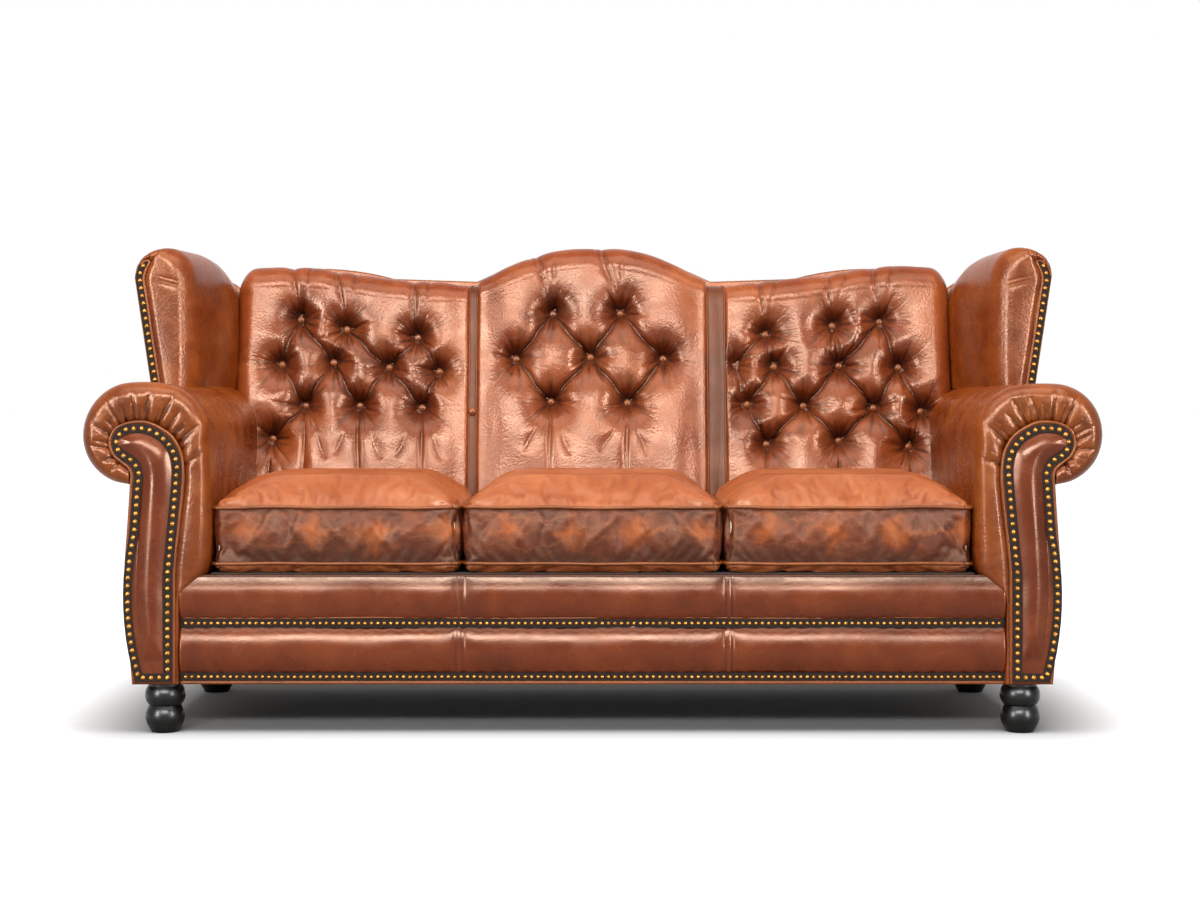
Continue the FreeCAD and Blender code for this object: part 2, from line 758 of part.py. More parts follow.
# Scroll boards: a long slim leaf that swells into a disc at the middle of the roll
# The scroll's arcs, each as a place on it and its end, out and up from the middle of the roll
SCROLL = [
    (-98, -189, -107, -83),
    (-99, -32, -59, 13),
    (-31, 25, -5, 26),
    (36, 11, 47, -24),
    (34, -50, 15, -62),
    (2, -78, 2, -100),
]
throat = SCROLL[-1]
face_inner = base_half + size("facing_inset")
face_steps = [
    (face_inner, floor_gap),
    (face_inner, deck),
    *[
        (roll_outer + via_x, roll_level + via_z, roll_outer + end_x, roll_level + end_z)
        for via_x, via_z, end_x, end_z in SCROLL
    ],
    (
        roll_outer + size("panel_hollow"),
        (roll_level + throat[3] + hollow_low) / 2,
        roll_end[0],
        hollow_low,
    ),
    *outside_steps(0)[1:],
]
face_y = wall_front - size("facing_thickness")
trims = []
studs = []
for label, side in SIDES:
    board_wire = draw(upright(side, face_y), face_steps)
    board = Part.Face(board_wire).extrude(Vector(0, size("facing_thickness"), 0))
    form(f"arm_facing_{label}", board)
    outline = Part.Face(board_wire)
    outer = outline.makeOffset2D(-size("trim_margin"))
    inner = outline.makeOffset2D(-size("trim_margin") - strip_width)
    ring = Part.Face(outer.OuterWire).cut(Part.Face(inner.OuterWire))
    trims.append(ring.extrude(Vector(0, -size("trim_thickness"), 0)))
    line = outline.makeOffset2D(-size("trim_margin") - strip_width / 2).OuterWire
    number = int(line.Length / size("nail_pitch"))
    lift = Vector(0, -size("trim_thickness"), 0)
    for point in line.discretize(Number=number + 1)[:-1]:
        studs.append(dome(point + lift, forward, size("nail_head"), size("nail_rise")))
group("arm_trims", trims)
group("arm_nails", studs)

# Wings: padding on a board that stands on the arm, an outside panel and a nailed strip
wing_front = front + size("wing_setback")
wing_mid = wing_front + size("wing_reach")
wing_end = rear + size("wing_reach")
wing_foot = roll_outer + size("wing_outside")
board_foot = roll_outer - size("wing_board")
spread = size("wing_spread")
wing_edge = size("wing_edge")
wing_top = arm_top + size("wing_rise")
wing_rear_top = wing_top - size("wing_drop")


def wing_crest(inner, top):
    """The rounded top of a wing from its outer shoulder to its inner one."""
    outer = wing_foot + spread
    return [
        (outer, top - size("wing_shoulder")),
        (
            (inner + outer) / 2 + size("wing_round"),
            top,
            inner + size("wing_inner_round"),
            top - size("wing_inner_shoulder"),
        ),
    ]


def wing_layer(side, inner_foot, outer_foot):
    """A leaning layer of a wing from front to back, between two lines on the arm."""
    wires = []
    for y, _, top in wing_stations:
        cap = top - size("wing_cap")
        steps = [
            (inner_foot, arm_top),
            (outer_foot, arm_top),
            (outer_foot + spread, cap),
            (inner_foot + spread, cap),
        ]
        wires.append(draw(upright(side, y), steps))
    return Part.makeLoft(wires, True, True).cut(behind(panel_depth)).Solids[0]


wing_stations = [
    (wing_front, base_half + size("wing_flare"), wing_top),
    (wing_mid, base_half + clear, wing_rear_top),
    (wing_end, base_half + clear, wing_rear_top),
]
wing_trims = []
wing_nails = []
for label, side in SIDES:
    wires = []
    for y, inner, top in wing_stations:
        cap = top - size("wing_cap")
        steps = [
            (inner, arm_top),
            (board_foot, arm_top),
            (board_foot + spread, cap),
            (wing_foot + spread - wing_edge, cap),
            *wing_crest(inner, top),
        ]
        wires.append(draw(upright(side, y), steps))
    cover = Part.makeLoft(wires, True, True).cut(behind(panel_depth))
    form(f"wing_cover_{label}", cover.Solids[0])
    form(f"wing_frame_{label}", wing_layer(side, board_foot, roll_outer))
    form(f"wing_outer_{label}", wing_layer(side, roll_outer, wing_foot - wing_edge))

    low = arm_top + wing_edge
    cap = wing_top - size("wing_cap")
    strip_foot = wing_foot - 2 * wing_edge
    hook = cap + size("strip_hook")
    bend = size("strip_bend")
    strip_head = strip_foot + spread - bend
    steps = [
        (strip_foot - strip_width, low),
        (strip_foot, low),
        (strip_foot + spread, cap),
        (strip_foot + spread - bend / 3, (cap + hook) / 2, strip_head, hook),
        (strip_head - strip_width, hook),
        (
            strip_head - strip_width + 2 * bend / 3,
            (cap + hook) / 2,
            strip_foot + spread - strip_width,
            cap,
        ),
    ]
    place = upright(side, wing_front - size("trim_thickness"))
    wing_trims.append(slab(place, steps, size("trim_thickness")))
    middle_line = draw(
        place,
        [
            (strip_foot - strip_width / 2, low),
            (strip_foot + spread - strip_width / 2, cap),
            (
                strip_foot + spread - strip_width / 2 - bend / 3,
                (cap + hook) / 2,
                strip_head - strip_width / 2,
                hook,
            ),
        ],
    )
    rising = Part.Wire(middle_line.Edges[:2])
    number = int(rising.Length / size("nail_pitch"))
    for middle in rising.discretize(Number=2 * number + 1)[1::2]:
        wing_nails.append(dome(middle, forward, size("nail_head"), size("nail_rise")))
group("wing_trims", wing_trims)
group("wing_nails", wing_nails)

# Tufted back in three sections, each a leather cover with a foam behind it
normal = Vector(0, -1, slope).normalize()
# Rows of buttons from the top, each as its distance from the middle and its rise over the deck
BUTTONS = {
    "left": [
        [(714, 560), (601, 536), (428, 516)],
        [(757, 450), (632, 455), (496, 443), (374, 433)],
        [(697, 350), (566, 350), (415, 345)],
        [(771, 271)],
    ],
    "center": [
        [(-99, 574), (65, 574)],
        [(-188, 464), (-8, 468), (169, 464)],
        [(-103, 360), (82, 357)],
    ],
    "right": [
        [(418, 523), (582, 545), (697, 555)],
        [(338, 450), (438, 445), (596, 447), (740, 443)],
        [(372, 353), (508, 350), (678, 345)],
        [(417, 257), (592, 266), (761, 252)],
    ],
}


def tuft(point):
    """The hollow that a button pulls into the back."""
    depth = size("tuft_depth")
    seat_radius = size("button_size") / 2 + clear
    return Part.makeCone(seat_radius, size("tuft_radius"), depth, point - normal * depth, normal)


def pleat(start, end):
    """A fold between two points of the back, as a three sided groove."""
    along = end - start
    across = Vector(along).normalize().cross(normal) * size("pleat_half")
    lift = normal * clear
    corners = [start + lift + across, start + lift - across, start - normal * size("pleat_depth")]
    return Part.Face(Part.makePolygon(corners + corners[:1])).extrude(along)


def back_steps(label, margin):
    """Outline of one section of the back, drawn in by a margin all round."""
    seam = size("seam_half")
    dip = size("dip_half")
    shoulder = size("shoulder_half")
    low = deck + margin
    if label == "center":
        edge = seam - clear - margin
        return [
            (-edge, low),
            (edge, low),
            (edge, deck + size("seam_rise") - margin),
            (shoulder, deck + size("shoulder_rise") - margin),
            (0, deck + size("camel_rise") - margin, -shoulder, deck + size("shoulder_rise") - margin),
            (-edge, deck + size("seam_rise") - margin),
        ]
    inner = seam + clear + margin
    outer_low = seat_half - clear - margin
    outer_high = base_half - margin
    step = arm_top + clear + margin
    crest = (base_half + dip) / 2
    return [
        (inner, low),
        (outer_low, low),
        (outer_low, step),
        (outer_high, step),
        (outer_high, deck + size("corner_rise") - margin),
        (crest, deck + size("side_rise") - margin, dip, deck + size("dip_rise") - margin),
        (inner, deck + size("seam_rise") - margin),
    ]


# The cover wraps over the top of the frame, which fills this space behind the padding
frame_space = slab(
    leaning(1, size("back_padding")),
    camel(size("back_rail_margin"), base_half, deck - size("deck_thickness")),
    3 * size("back_frame"),
)
buttons = []
edge_roll = size("back_roll")
for label, side in (("left", -1), ("center", 1), ("right", 1)):
    full = back_steps(label, 0)
    wires = [
        draw(leaning(side, 0), back_steps(label, edge_roll)),
        draw(leaning(side, edge_roll / 3), back_steps(label, edge_roll / 3)),
        draw(leaning(side, edge_roll), full),
        draw(leaning(side, panel_depth), full),
    ]
    cushion = Part.makeLoft(wires, True, True)
    foam_steps = back_steps(label, size("foam_margin"))
    foam_start = size("back_padding") - size("back_foam")
    foam = slab(leaning(side, foam_start), foam_steps, size("back_foam"))
    form(f"back_foam_{label}", foam)

    face = leaning(side, 0)
    rows = [[face(x, deck + rise) for x, rise in row] for row in BUTTONS[label]]
    cuts = [tuft(point) for row in rows for point in row]
    for upper, lower in zip(rows, rows[1:]):
        for start in upper:
            near = [end for end in lower if (end - start).Length < size("pleat_reach")]
            cuts += [pleat(start, end) for end in near]
    reach = Vector(0, slope, 1) * size("pleat_run")
    cuts += [pleat(point, point + reach) for point in rows[0]]
    cuts += [pleat(point, point - reach) for point in (*rows[2], *rows[-1])]
    cushion = cushion.cut([foam, frame_space, *cuts])
    form(f"back_cover_{label}", max(cushion.Solids, key=lambda solid: solid.Volume))
    for point in [point for row in rows for point in row]:
        seat = point - normal * size("tuft_depth")
        buttons.append(dome(seat, normal, size("button_size"), size("button_rise")))
group("back_buttons", buttons)

# Outside back: one leather panel over the back, the ends of the arms and the wings
right_steps = [
    (roll_outer + size("panel_foot"), floor_gap),
    *outside_up_steps(0),
    (roll_outer + roll * root_half, roll_level - roll * root_half, roll_outer + roll, roll_level),
    (
        roll_outer + roll * math.cos(math.radians(30)),
        roll_level + roll * math.sin(math.radians(30)),
        roll_outer + roll * math.cos(math.radians(60)),
        roll_level + roll * math.sin(math.radians(60)),
    ),
    (wing_foot + spread - wing_edge, wing_rear_top - size("wing_cap")),
    *wing_crest(base_half, wing_rear_top),
]
crown = camel(0, base_half, floor_gap)[2:]
left_steps = []
ends = [step[-2:] for step in right_steps]
for index in range(len(right_steps) - 1, 0, -1):
    step = right_steps[index]
    end = ends[index - 1]
    via = (-step[0], step[1]) if len(step) == 4 else ()
    left_steps.append((*via, -end[0], end[1]))
steps = [*right_steps, *crown, (-ends[-1][0], ends[-1][1]), *left_steps]
form("outside_back", slab(leaning(1, panel_depth), steps, size("outside_back")))

# Feet: turned double buns, screwed to the sills with hanger bolts
def belly_radius(lower, upper, proud, mean):
    """Radius of an arc that swells from a mean radius to its proud one."""
    half = f"(({upper} - {lower}) / 2)"
    rise = f"({proud} - {mean})"
    return f"({half} * {half} + {rise} * {rise}) / (2 * {rise})"


ankle = "({foot_neck} + 2)"
waist_level = "({foot_height} * 0.54)"
heel_level = "({foot_height} * 0.12)"
collar_level = "({foot_height} * 0.93)"
lower_bulge = belly_radius(heel_level, waist_level, "{foot_lower}", f"({ankle} + {{foot_neck}}) / 2")
upper_bulge = belly_radius(waist_level, collar_level, "{foot_radius}", "({foot_neck} + {foot_top}) / 2")
FOOT_CORNERS = [
    ("0", "0"),
    ("{foot_base}", "0"),
    (ankle, heel_level, lower_bulge),
    ("{foot_neck}", waist_level, upper_bulge),
    ("{foot_top}", collar_level),
    ("{foot_top}", "{foot_height}"),
    ("0", "{foot_height}"),
]
foot = doc.addObject("PartDesign::Body", "foot_turning")
profile = sketch_on(foot, "XZ_Plane", "foot_profile")
bind_outline(profile, [[sheet_names(text) for text in corner] for corner in FOOT_CORNERS])
turning = foot.newObject("PartDesign::Revolution", "foot_revolution")
turning.Profile = profile
turning.ReferenceAxis = (profile, ["V_Axis"])
turning.Angle = 360
foot.Tip = turning
doc.recompute()
feet = [foot.Shape.translated(Vector(x, y, 0)).cut(bolt_holes).Solids[0] for x, y in FOOT_PLACES]
group("feet", feet)


# Seat cushions: a crowned cover with drawn-in sides on a core, piped, with a zip behind
def cushion_plan(low_x, high_x, low_y, high_y, level):
    """Plan of a cushion: its front and ends pull in between the corners."""
    draw_in = size("cushion_draw")
    place = lambda x, y: Vector(x, y, level)
    steps = [
        (low_x, low_y),
        ((low_x + high_x) / 2, low_y + draw_in, high_x, low_y),
        (high_x - draw_in, (low_y + high_y) / 2, high_x, high_y),
        (low_x, high_y),
        (low_x + draw_in, (low_y + high_y) / 2, low_x, low_y),
    ]
    return Part.Face(draw(place, steps))


def crowned(low_x, high_x, low_y, high_y, low, boxing):
    """A closed pillow whose top rises to a crown in the middle."""
    rise = low + boxing
    crown = rise + size("cushion_crown")
    margin = 2 * size("cushion_draw")
    west, east = low_x - margin, high_x + margin
    south, north = low_y - margin, high_y + margin
    over_x = draw(
        lambda x, z: Vector(x, south, z),
        [(west, low), (east, low), (east, rise), ((west + east) / 2, crown, west, rise)],
    )
    over_y = draw(
        lambda y, z: Vector(west, y, z),
        [(south, low), (north, low), (north, rise), ((south + north) / 2, crown, south, rise)],
    )
    long_way = Part.Face(over_x).extrude(Vector(0, north - south, 0))
    wide_way = Part.Face(over_y).extrude(Vector(east - west, 0, 0))
    plan = cushion_plan(low_x, high_x, low_y, high_y, low - 1)
    return long_way.common(wide_way).common(plan.extrude(Vector(0, 0, crown - low + 2)))


def piping_ring(extents, level):
    low_x, high_x, low_y, high_y = extents
    proud = size("piping_proud")
    lift = Vector(0, 0, size("piping_size"))
    around = cushion_plan(low_x - proud, high_x + proud, low_y - proud, high_y + proud, level)
    return around.extrude(lift).cut(cushion_plan(*extents, level).extrude(lift))


proud = size("piping_proud")
gap = size("cushion_gap")
center_half = size("center_width") / 2
cushion_front = front + size("cushion_setback") + proud
cushion_rear = back_line(deck) - clear - proud
cushion_low = deck + clear
SEATS = (
    ("left", -seat_half + gap, -center_half - gap),
    ("center", -center_half, center_half),
    ("right", center_half + gap, seat_half - gap),
)
for label, low_x, high_x in SEATS:
    extents = (low_x + proud, high_x - proud, cushion_front, cushion_rear)
    boxing = size("cushion_side")
    wall = size("cushion_wall")
    shell = crowned(*extents, cushion_low, boxing)

    def inset(amount):
        inner = (extents[0] + amount, extents[1] - amount, extents[2] + amount, extents[3] - amount)
        return crowned(*inner, cushion_low + amount, boxing - amount - amount / 2)

    core = inset(wall)
    slot_low = cushion_low + (boxing - size("zip_height")) / 2
    slot_start = low_x + size("zip_inset")
    slot = Part.makeBox(
        high_x - size("zip_inset") - slot_start,
        size("zip_depth") + 1,
        size("zip_height"),
        Vector(slot_start, cushion_rear - size("zip_depth"), slot_low),
    )
    cover = shell.cut([inset(wall - clear), slot])
    form(f"cushion_cover_{label}", cover.Solids[0])
    form(f"cushion_core_{label}", core.Solids[0])
    rings = [
        piping_ring(extents, cushion_low + size("piping_size") / 2),
        piping_ring(extents, cushion_low + boxing - size("piping_size")),
    ]
    group(f"cushion_piping_{label}", rings)
    slider = Part.makeBox(
        size("slider_length"),
        size("zip_depth") - clear,
        size("zip_height") - 2 * clear,
        Vector(slot_start + clear, cushion_rear - size("zip_depth") + clear, slot_low + clear),
    )
    form(f"zip_slider_{label}", slider)

# Every object has to be sound before anything is written
doc.recompute()
for item in doc.Objects:
    faults = {"Invalid", "Error"} & set(item.State)
    if faults:
        raise RuntimeError(f"{item.Name} is {', '.join(sorted(faults))}")
for name, piece in parts.items():
    if piece.Shape.isNull() or not piece.Shape.isValid() or not piece.Shape.Solids:
        raise RuntimeError(f"{name} has no sound shape")

os.makedirs("parts", exist_ok=True)
for name, piece in parts.items():
    piece.Shape.exportStep(f"parts/{name}.step")
print(f"{len(parts)} sub-parts, spring least gap {2 * turn - wire:.2f} mm to itself")
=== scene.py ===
import math

import bpy
import numpy as np
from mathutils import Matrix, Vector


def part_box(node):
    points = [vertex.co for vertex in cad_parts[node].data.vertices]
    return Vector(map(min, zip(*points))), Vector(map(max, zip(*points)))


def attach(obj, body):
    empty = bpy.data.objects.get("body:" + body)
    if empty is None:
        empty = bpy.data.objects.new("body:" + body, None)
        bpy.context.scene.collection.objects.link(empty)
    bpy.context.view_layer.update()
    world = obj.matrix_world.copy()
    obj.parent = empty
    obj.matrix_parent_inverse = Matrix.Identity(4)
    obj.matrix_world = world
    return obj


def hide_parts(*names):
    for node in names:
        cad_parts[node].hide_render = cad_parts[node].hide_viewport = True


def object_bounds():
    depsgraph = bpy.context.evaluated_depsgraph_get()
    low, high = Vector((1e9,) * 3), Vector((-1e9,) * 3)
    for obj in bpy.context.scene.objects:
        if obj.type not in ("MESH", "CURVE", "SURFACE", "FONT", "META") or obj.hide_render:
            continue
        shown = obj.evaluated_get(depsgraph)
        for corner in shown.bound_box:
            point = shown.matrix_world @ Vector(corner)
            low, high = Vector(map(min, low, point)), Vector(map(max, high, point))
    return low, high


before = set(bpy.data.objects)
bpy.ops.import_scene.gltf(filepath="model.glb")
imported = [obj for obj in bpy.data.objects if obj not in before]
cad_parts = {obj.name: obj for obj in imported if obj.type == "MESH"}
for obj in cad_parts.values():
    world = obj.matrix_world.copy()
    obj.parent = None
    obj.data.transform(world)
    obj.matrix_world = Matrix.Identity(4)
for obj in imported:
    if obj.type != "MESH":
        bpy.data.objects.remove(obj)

cad_low, cad_high = [list(corner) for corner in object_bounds()]
scene = bpy.context.scene
scene.view_settings.view_transform = "Standard"

# The stage: a pale floor in a white room, and a level camera at standing chest height, 4.4 m
# from the front of the arms. The lens takes in the frame that the photograph shows.
SENSOR = 0.036
CAMERA_REACH = 4.4
VIEW_WIDTH = 2.5176
CAMERA_HEIGHT = 0.713
CAMERA_ASIDE = 0.0157
HORIZON_DROP = 0.0475

camera_data = bpy.data.cameras.new("camera")
camera_data.sensor_width = SENSOR * 1000
camera_data.lens = SENSOR * 1000 * CAMERA_REACH / VIEW_WIDTH
camera_data.shift_y = -HORIZON_DROP
camera = bpy.data.objects.new("camera", camera_data)
camera.location = (CAMERA_ASIDE, cad_low[1] - CAMERA_REACH, CAMERA_HEIGHT)
camera.rotation_euler = (math.radians(90), 0, 0)
scene.collection.objects.link(camera)
scene.camera = camera


def linear(sheen):
    """An sRGB hex colour as linear RGBA."""
    parts = [int(sheen[i:i + 2], 16) / 255 for i in (1, 3, 5)]
    return tuple(p / 12.92 if p <= 0.04045 else ((p + 0.055) / 1.055) ** 2.4 for p in parts) + (1,)


def add_node(tree, kind, inputs=None, stops=None, **settings):
    """A node with its settings, its colour stops and its links."""
    made = tree.nodes.new(kind)
    for key, value in settings.items():
        setattr(made, key, value)
    for key, value in (inputs or {}).items():
        if isinstance(value, bpy.types.NodeSocket):
            tree.links.new(value, made.inputs[key])
        else:
            made.inputs[key].default_value = value
    if stops:
        ramp = made.color_ramp.elements
        while len(ramp) < len(stops):
            ramp.new(0.5)
        for element, (place, colour) in zip(ramp, stops):
            element.position = place
            element.color = colour
    return made


def new_material(name):
    """A material with an empty tree but for its output and its shader."""
    material = bpy.data.materials.new(name)
    material.use_nodes = True
    tree = material.node_tree
    tree.nodes.clear()
    output = tree.nodes.new("ShaderNodeOutputMaterial")
    shader = tree.nodes.new("ShaderNodeBsdfPrincipled")
    tree.links.new(shader.outputs["BSDF"], output.inputs["Surface"])
    return material, tree, shader


def reckon(tree, operation, *values, kind="ShaderNodeMath"):
    """The result of one reckoning with numbers or vectors."""
    return add_node(tree, kind, dict(enumerate(values)), operation=operation).outputs[0]


def ranged(tree, value, start, end, low=0.0, high=1.0, **settings):
    """A value taken from one range to another."""
    limits = {"Value": value, "From Min": start, "From Max": end, "To Min": low, "To Max": high}
    return add_node(tree, "ShaderNodeMapRange", limits, **settings).outputs[0]


def seen_by_eye(tree):
    """One for the rays of the camera and of what shines or is clear, else none."""
    rays = add_node(tree, "ShaderNodeLightPath").outputs
    seen = reckon(tree, "MAXIMUM", rays["Is Camera Ray"], rays["Is Transmission Ray"])
    return reckon(tree, "MAXIMUM", seen, rays["Is Glossy Ray"])


FLOOR_GREY = "#bdbdbd"
FLOOR_SPAN = 60
FOOTPRINT = (0.93, 0.36, 0)
SHADOW_REACH = 0.42
SMOOTH = {"interpolation_type": "SMOOTHSTEP"}
bpy.ops.object.select_all(action="DESELECT")
bpy.ops.mesh.primitive_plane_add(size=FLOOR_SPAN, location=(0, 0, 0))
floor = bpy.context.object
floor.name = "floor"
floor_paint, tree, shader = new_material("floor_matt_white_paint")
shader.inputs["Base Color"].default_value = linear(FLOOR_GREY)
shader.inputs["Roughness"].default_value = 0.9
shader.inputs["Specular IOR Level"].default_value = 0.1
# the floor burns out to white away from the object's footprint
VECTORS = {"kind": "ShaderNodeVectorMath"}
place = add_node(tree, "ShaderNodeTexCoord").outputs["Object"]
beyond = reckon(tree, "SUBTRACT", reckon(tree, "ABSOLUTE", place, **VECTORS), FOOTPRINT, **VECTORS)
outside = reckon(tree, "MAXIMUM", beyond, (0, 0, 0), **VECTORS)
away = add_node(tree, "ShaderNodeVectorMath", {0: outside}, operation="LENGTH").outputs["Value"]
bleached = ranged(tree, away, 0.0, SHADOW_REACH, **SMOOTH)
shown = reckon(tree, "MULTIPLY", bleached, seen_by_eye(tree))
tree.links.new(shown, shader.inputs["Emission Strength"])
shader.inputs["Emission Color"].default_value = linear("#ffffff")
floor.data.materials.append(floor_paint)

room = bpy.data.worlds.new("white_room")
scene.world = room
room.use_nodes = True
tree = room.node_tree
tree.nodes.clear()
ROOM_LIGHT = 0.24
white = linear("#ffffff")
dim = add_node(tree, "ShaderNodeBackground", {"Color": white, "Strength": ROOM_LIGHT})
bright = add_node(tree, "ShaderNodeBackground", {"Color": white, "Strength": 1.0})
mixed = add_node(
    tree, "ShaderNodeMixShader", {0: seen_by_eye(tree), 1: dim.outputs[0], 2: bright.outputs[0]}
)
add_node(tree, "ShaderNodeOutputWorld", {"Surface": mixed.outputs[0]})


def add_lamp(name, place, target, across, down, watts):
    """A soft rectangular studio lamp aimed at a point."""
    data = bpy.data.lights.new(name, "AREA")
    data.shape = "RECTANGLE"
    data.size = across
    data.size_y = down
    data.energy = watts
    lamp = bpy.data.objects.new(name, data)
    lamp.location = place
    aim = np.array(target) - np.array(place)
    tilt = math.atan2(math.hypot(aim[0], aim[1]), -aim[2])
    lamp.rotation_euler = (tilt, 0, math.atan2(-aim[0], aim[1]))
    scene.collection.objects.link(lamp)
    return lamp


add_lamp("overhead_softbox", (0, -1.3, 3.3), (0, -0.1, 0.4), 4.2, 1.8, 160)
add_lamp("front_softbox", (-0.6, -4.8, 2.3), (0, 0, 0.6), 3.4, 0.6, 105)
# strips that only polished faces pick up
for name, spot, across, down, watts in (
    ("upper_strip", (-0.3, -4.6, 2.75), 3.6, 0.9, 540),
    ("left_strip", (-3.4, -3.8, 1.5), 0.9, 2.4, 450),
    ("right_strip", (3.4, -3.8, 1.5), 0.9, 2.4, 420),
):
    add_lamp(name, spot, (0, 0, 0.7), across, down, watts).visible_diffuse = False

# Hidden frame, springs and stuffing: sawn beech rails and blocks, drawn steel wire, needled
# felt, open foam and jute. They sit under the covers and keep their solids.
MILLIMETRE = 0.001


def noise(tree, place, size_mm, detail, roughness=0.5, distortion=0.0):
    """Cloudy noise whose patches have a size in millimetres."""
    inputs = {"Vector": place, "Scale": 1 / (size_mm * MILLIMETRE), "Detail": detail}
    inputs.update({"Roughness": roughness, "Distortion": distortion})
    return add_node(tree, "ShaderNodeTexNoise", inputs).outputs


def plain_finish(
    name, colour, deep, roughness, grain_mm, stretch=(1, 1, 1), metallic=0.0, bump=0.3, shine=0.5
):
    """A finish with one grain: two tones and a relief of that size."""
    material, tree, shader = new_material(name)
    place = add_node(tree, "ShaderNodeTexCoord").outputs["Object"]
    stretched = add_node(tree, "ShaderNodeMapping", {"Vector": place, "Scale": stretch}).outputs[0]
    grain = noise(tree, stretched, grain_mm, 4.0)["Fac"]
    stops = [(0.3, linear(deep)), (0.7, linear(colour))]
    tone = add_node(tree, "ShaderNodeValToRGB", {"Fac": grain}, stops=stops).outputs["Color"]
    tree.links.new(tone, shader.inputs["Base Color"])
    rise = grain_mm * MILLIMETRE * 0.2
    relief = add_node(tree, "ShaderNodeBump", {"Height": grain, "Distance": rise, "Strength": bump})
    tree.links.new(relief.outputs["Normal"], shader.inputs["Normal"])
    shader.inputs["Roughness"].default_value = roughness
    shader.inputs["Metallic"].default_value = metallic
    shader.inputs["Specular IOR Level"].default_value = shine
    return material


sawn_beech = plain_finish("sawn_beech", "#c9a878", "#a37d4e", 0.7, 12, (1, 0.1, 0.6))
drawn_steel = plain_finish("drawn_steel_wire", "#9a9c9e", "#77797c", 0.35, 2, metallic=1.0, bump=0.1)
needled_felt = plain_finish("needled_felt", "#51433a", "#332821", 0.95, 3, shine=0.2)
open_foam = plain_finish("open_cell_foam", "#e6dcc0", "#d2c4a0", 0.9, 3)
woven_jute = plain_finish("woven_jute", "#8f754c", "#6b5433", 0.9, 4, (0.2, 1, 1))
spunbond = plain_finish("black_spunbond_cloth", "#1c1b1b", "#0e0e0e", 0.9, 2)


def finish_nodes(material, *names):
    """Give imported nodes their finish."""
    for name in names:
        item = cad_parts[name]
        item.data.materials.clear()
        item.data.materials.append(material)


SIDES = (("left", -1), ("right", 1))
THREE = ("left", "center", "right")
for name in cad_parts:
    if name.startswith(("front_rail", "back_rail", "sills", "seat_strut", "corner_blocks")):
        finish_nodes(sawn_beech, name)
    if name.startswith(("front_post", "back_post", "arm_rail", "back_top", "back_slats", "wing_frame")):
        finish_nodes(sawn_beech, name)
    if name.startswith(("seat_springs", "spring_clips", "foot_bolts")):
        finish_nodes(drawn_steel, name)
    if name.startswith(("back_foam", "cushion_core")):
        finish_nodes(open_foam, name)
finish_nodes(needled_felt, "deck_pad")
finish_nodes(woven_jute, "back_webbing")
finish_nodes(spunbond, "dust_cover")

# Feet: double bun turnings in beech, stained black and lacquered. The lacquer gives a soft
# gloss over a stain that lets a little brown through on the edges; the finish draws it in two
# near-black tones mixed by noise.
ebonised = plain_finish(
    "ebonised_lacquered_beech", "#12100e", "#070605", 0.3, 20, (1, 1, 0.2), bump=0.05, shine=0.2
)
finish_nodes(ebonised, "feet")

# Leather: full grain hide, aniline dyed and waxed. The wax moves where the hide is pulled, so it
# pales on the swells and stays deep in the folds, and it wears to orange and creases finely. The
# hollows, folds and gathers are further darkened as painted shade.
# sizes of its marks in millimetres
CLOUD = 150
PATCH = 60
CREASE = 46
CREASE_BEND = 50
CREASED_AREA = 90
GRAIN = 5.5
FINE_GRAIN = 14
# count of the fine folds that run out from a button, drawn as thin spokes of painted shade
SPOKES = 3.8
GLOSS_TINT = "#ffd8bd"


def laid_over(tree, share, under, over, kind="RGBA"):
    """One tone, or one vector, laid over another by a share."""
    mix = add_node(tree, "ShaderNodeMix", {"Factor": share, "A": under, "B": over}, data_type=kind)
    return mix.outputs["Result"]


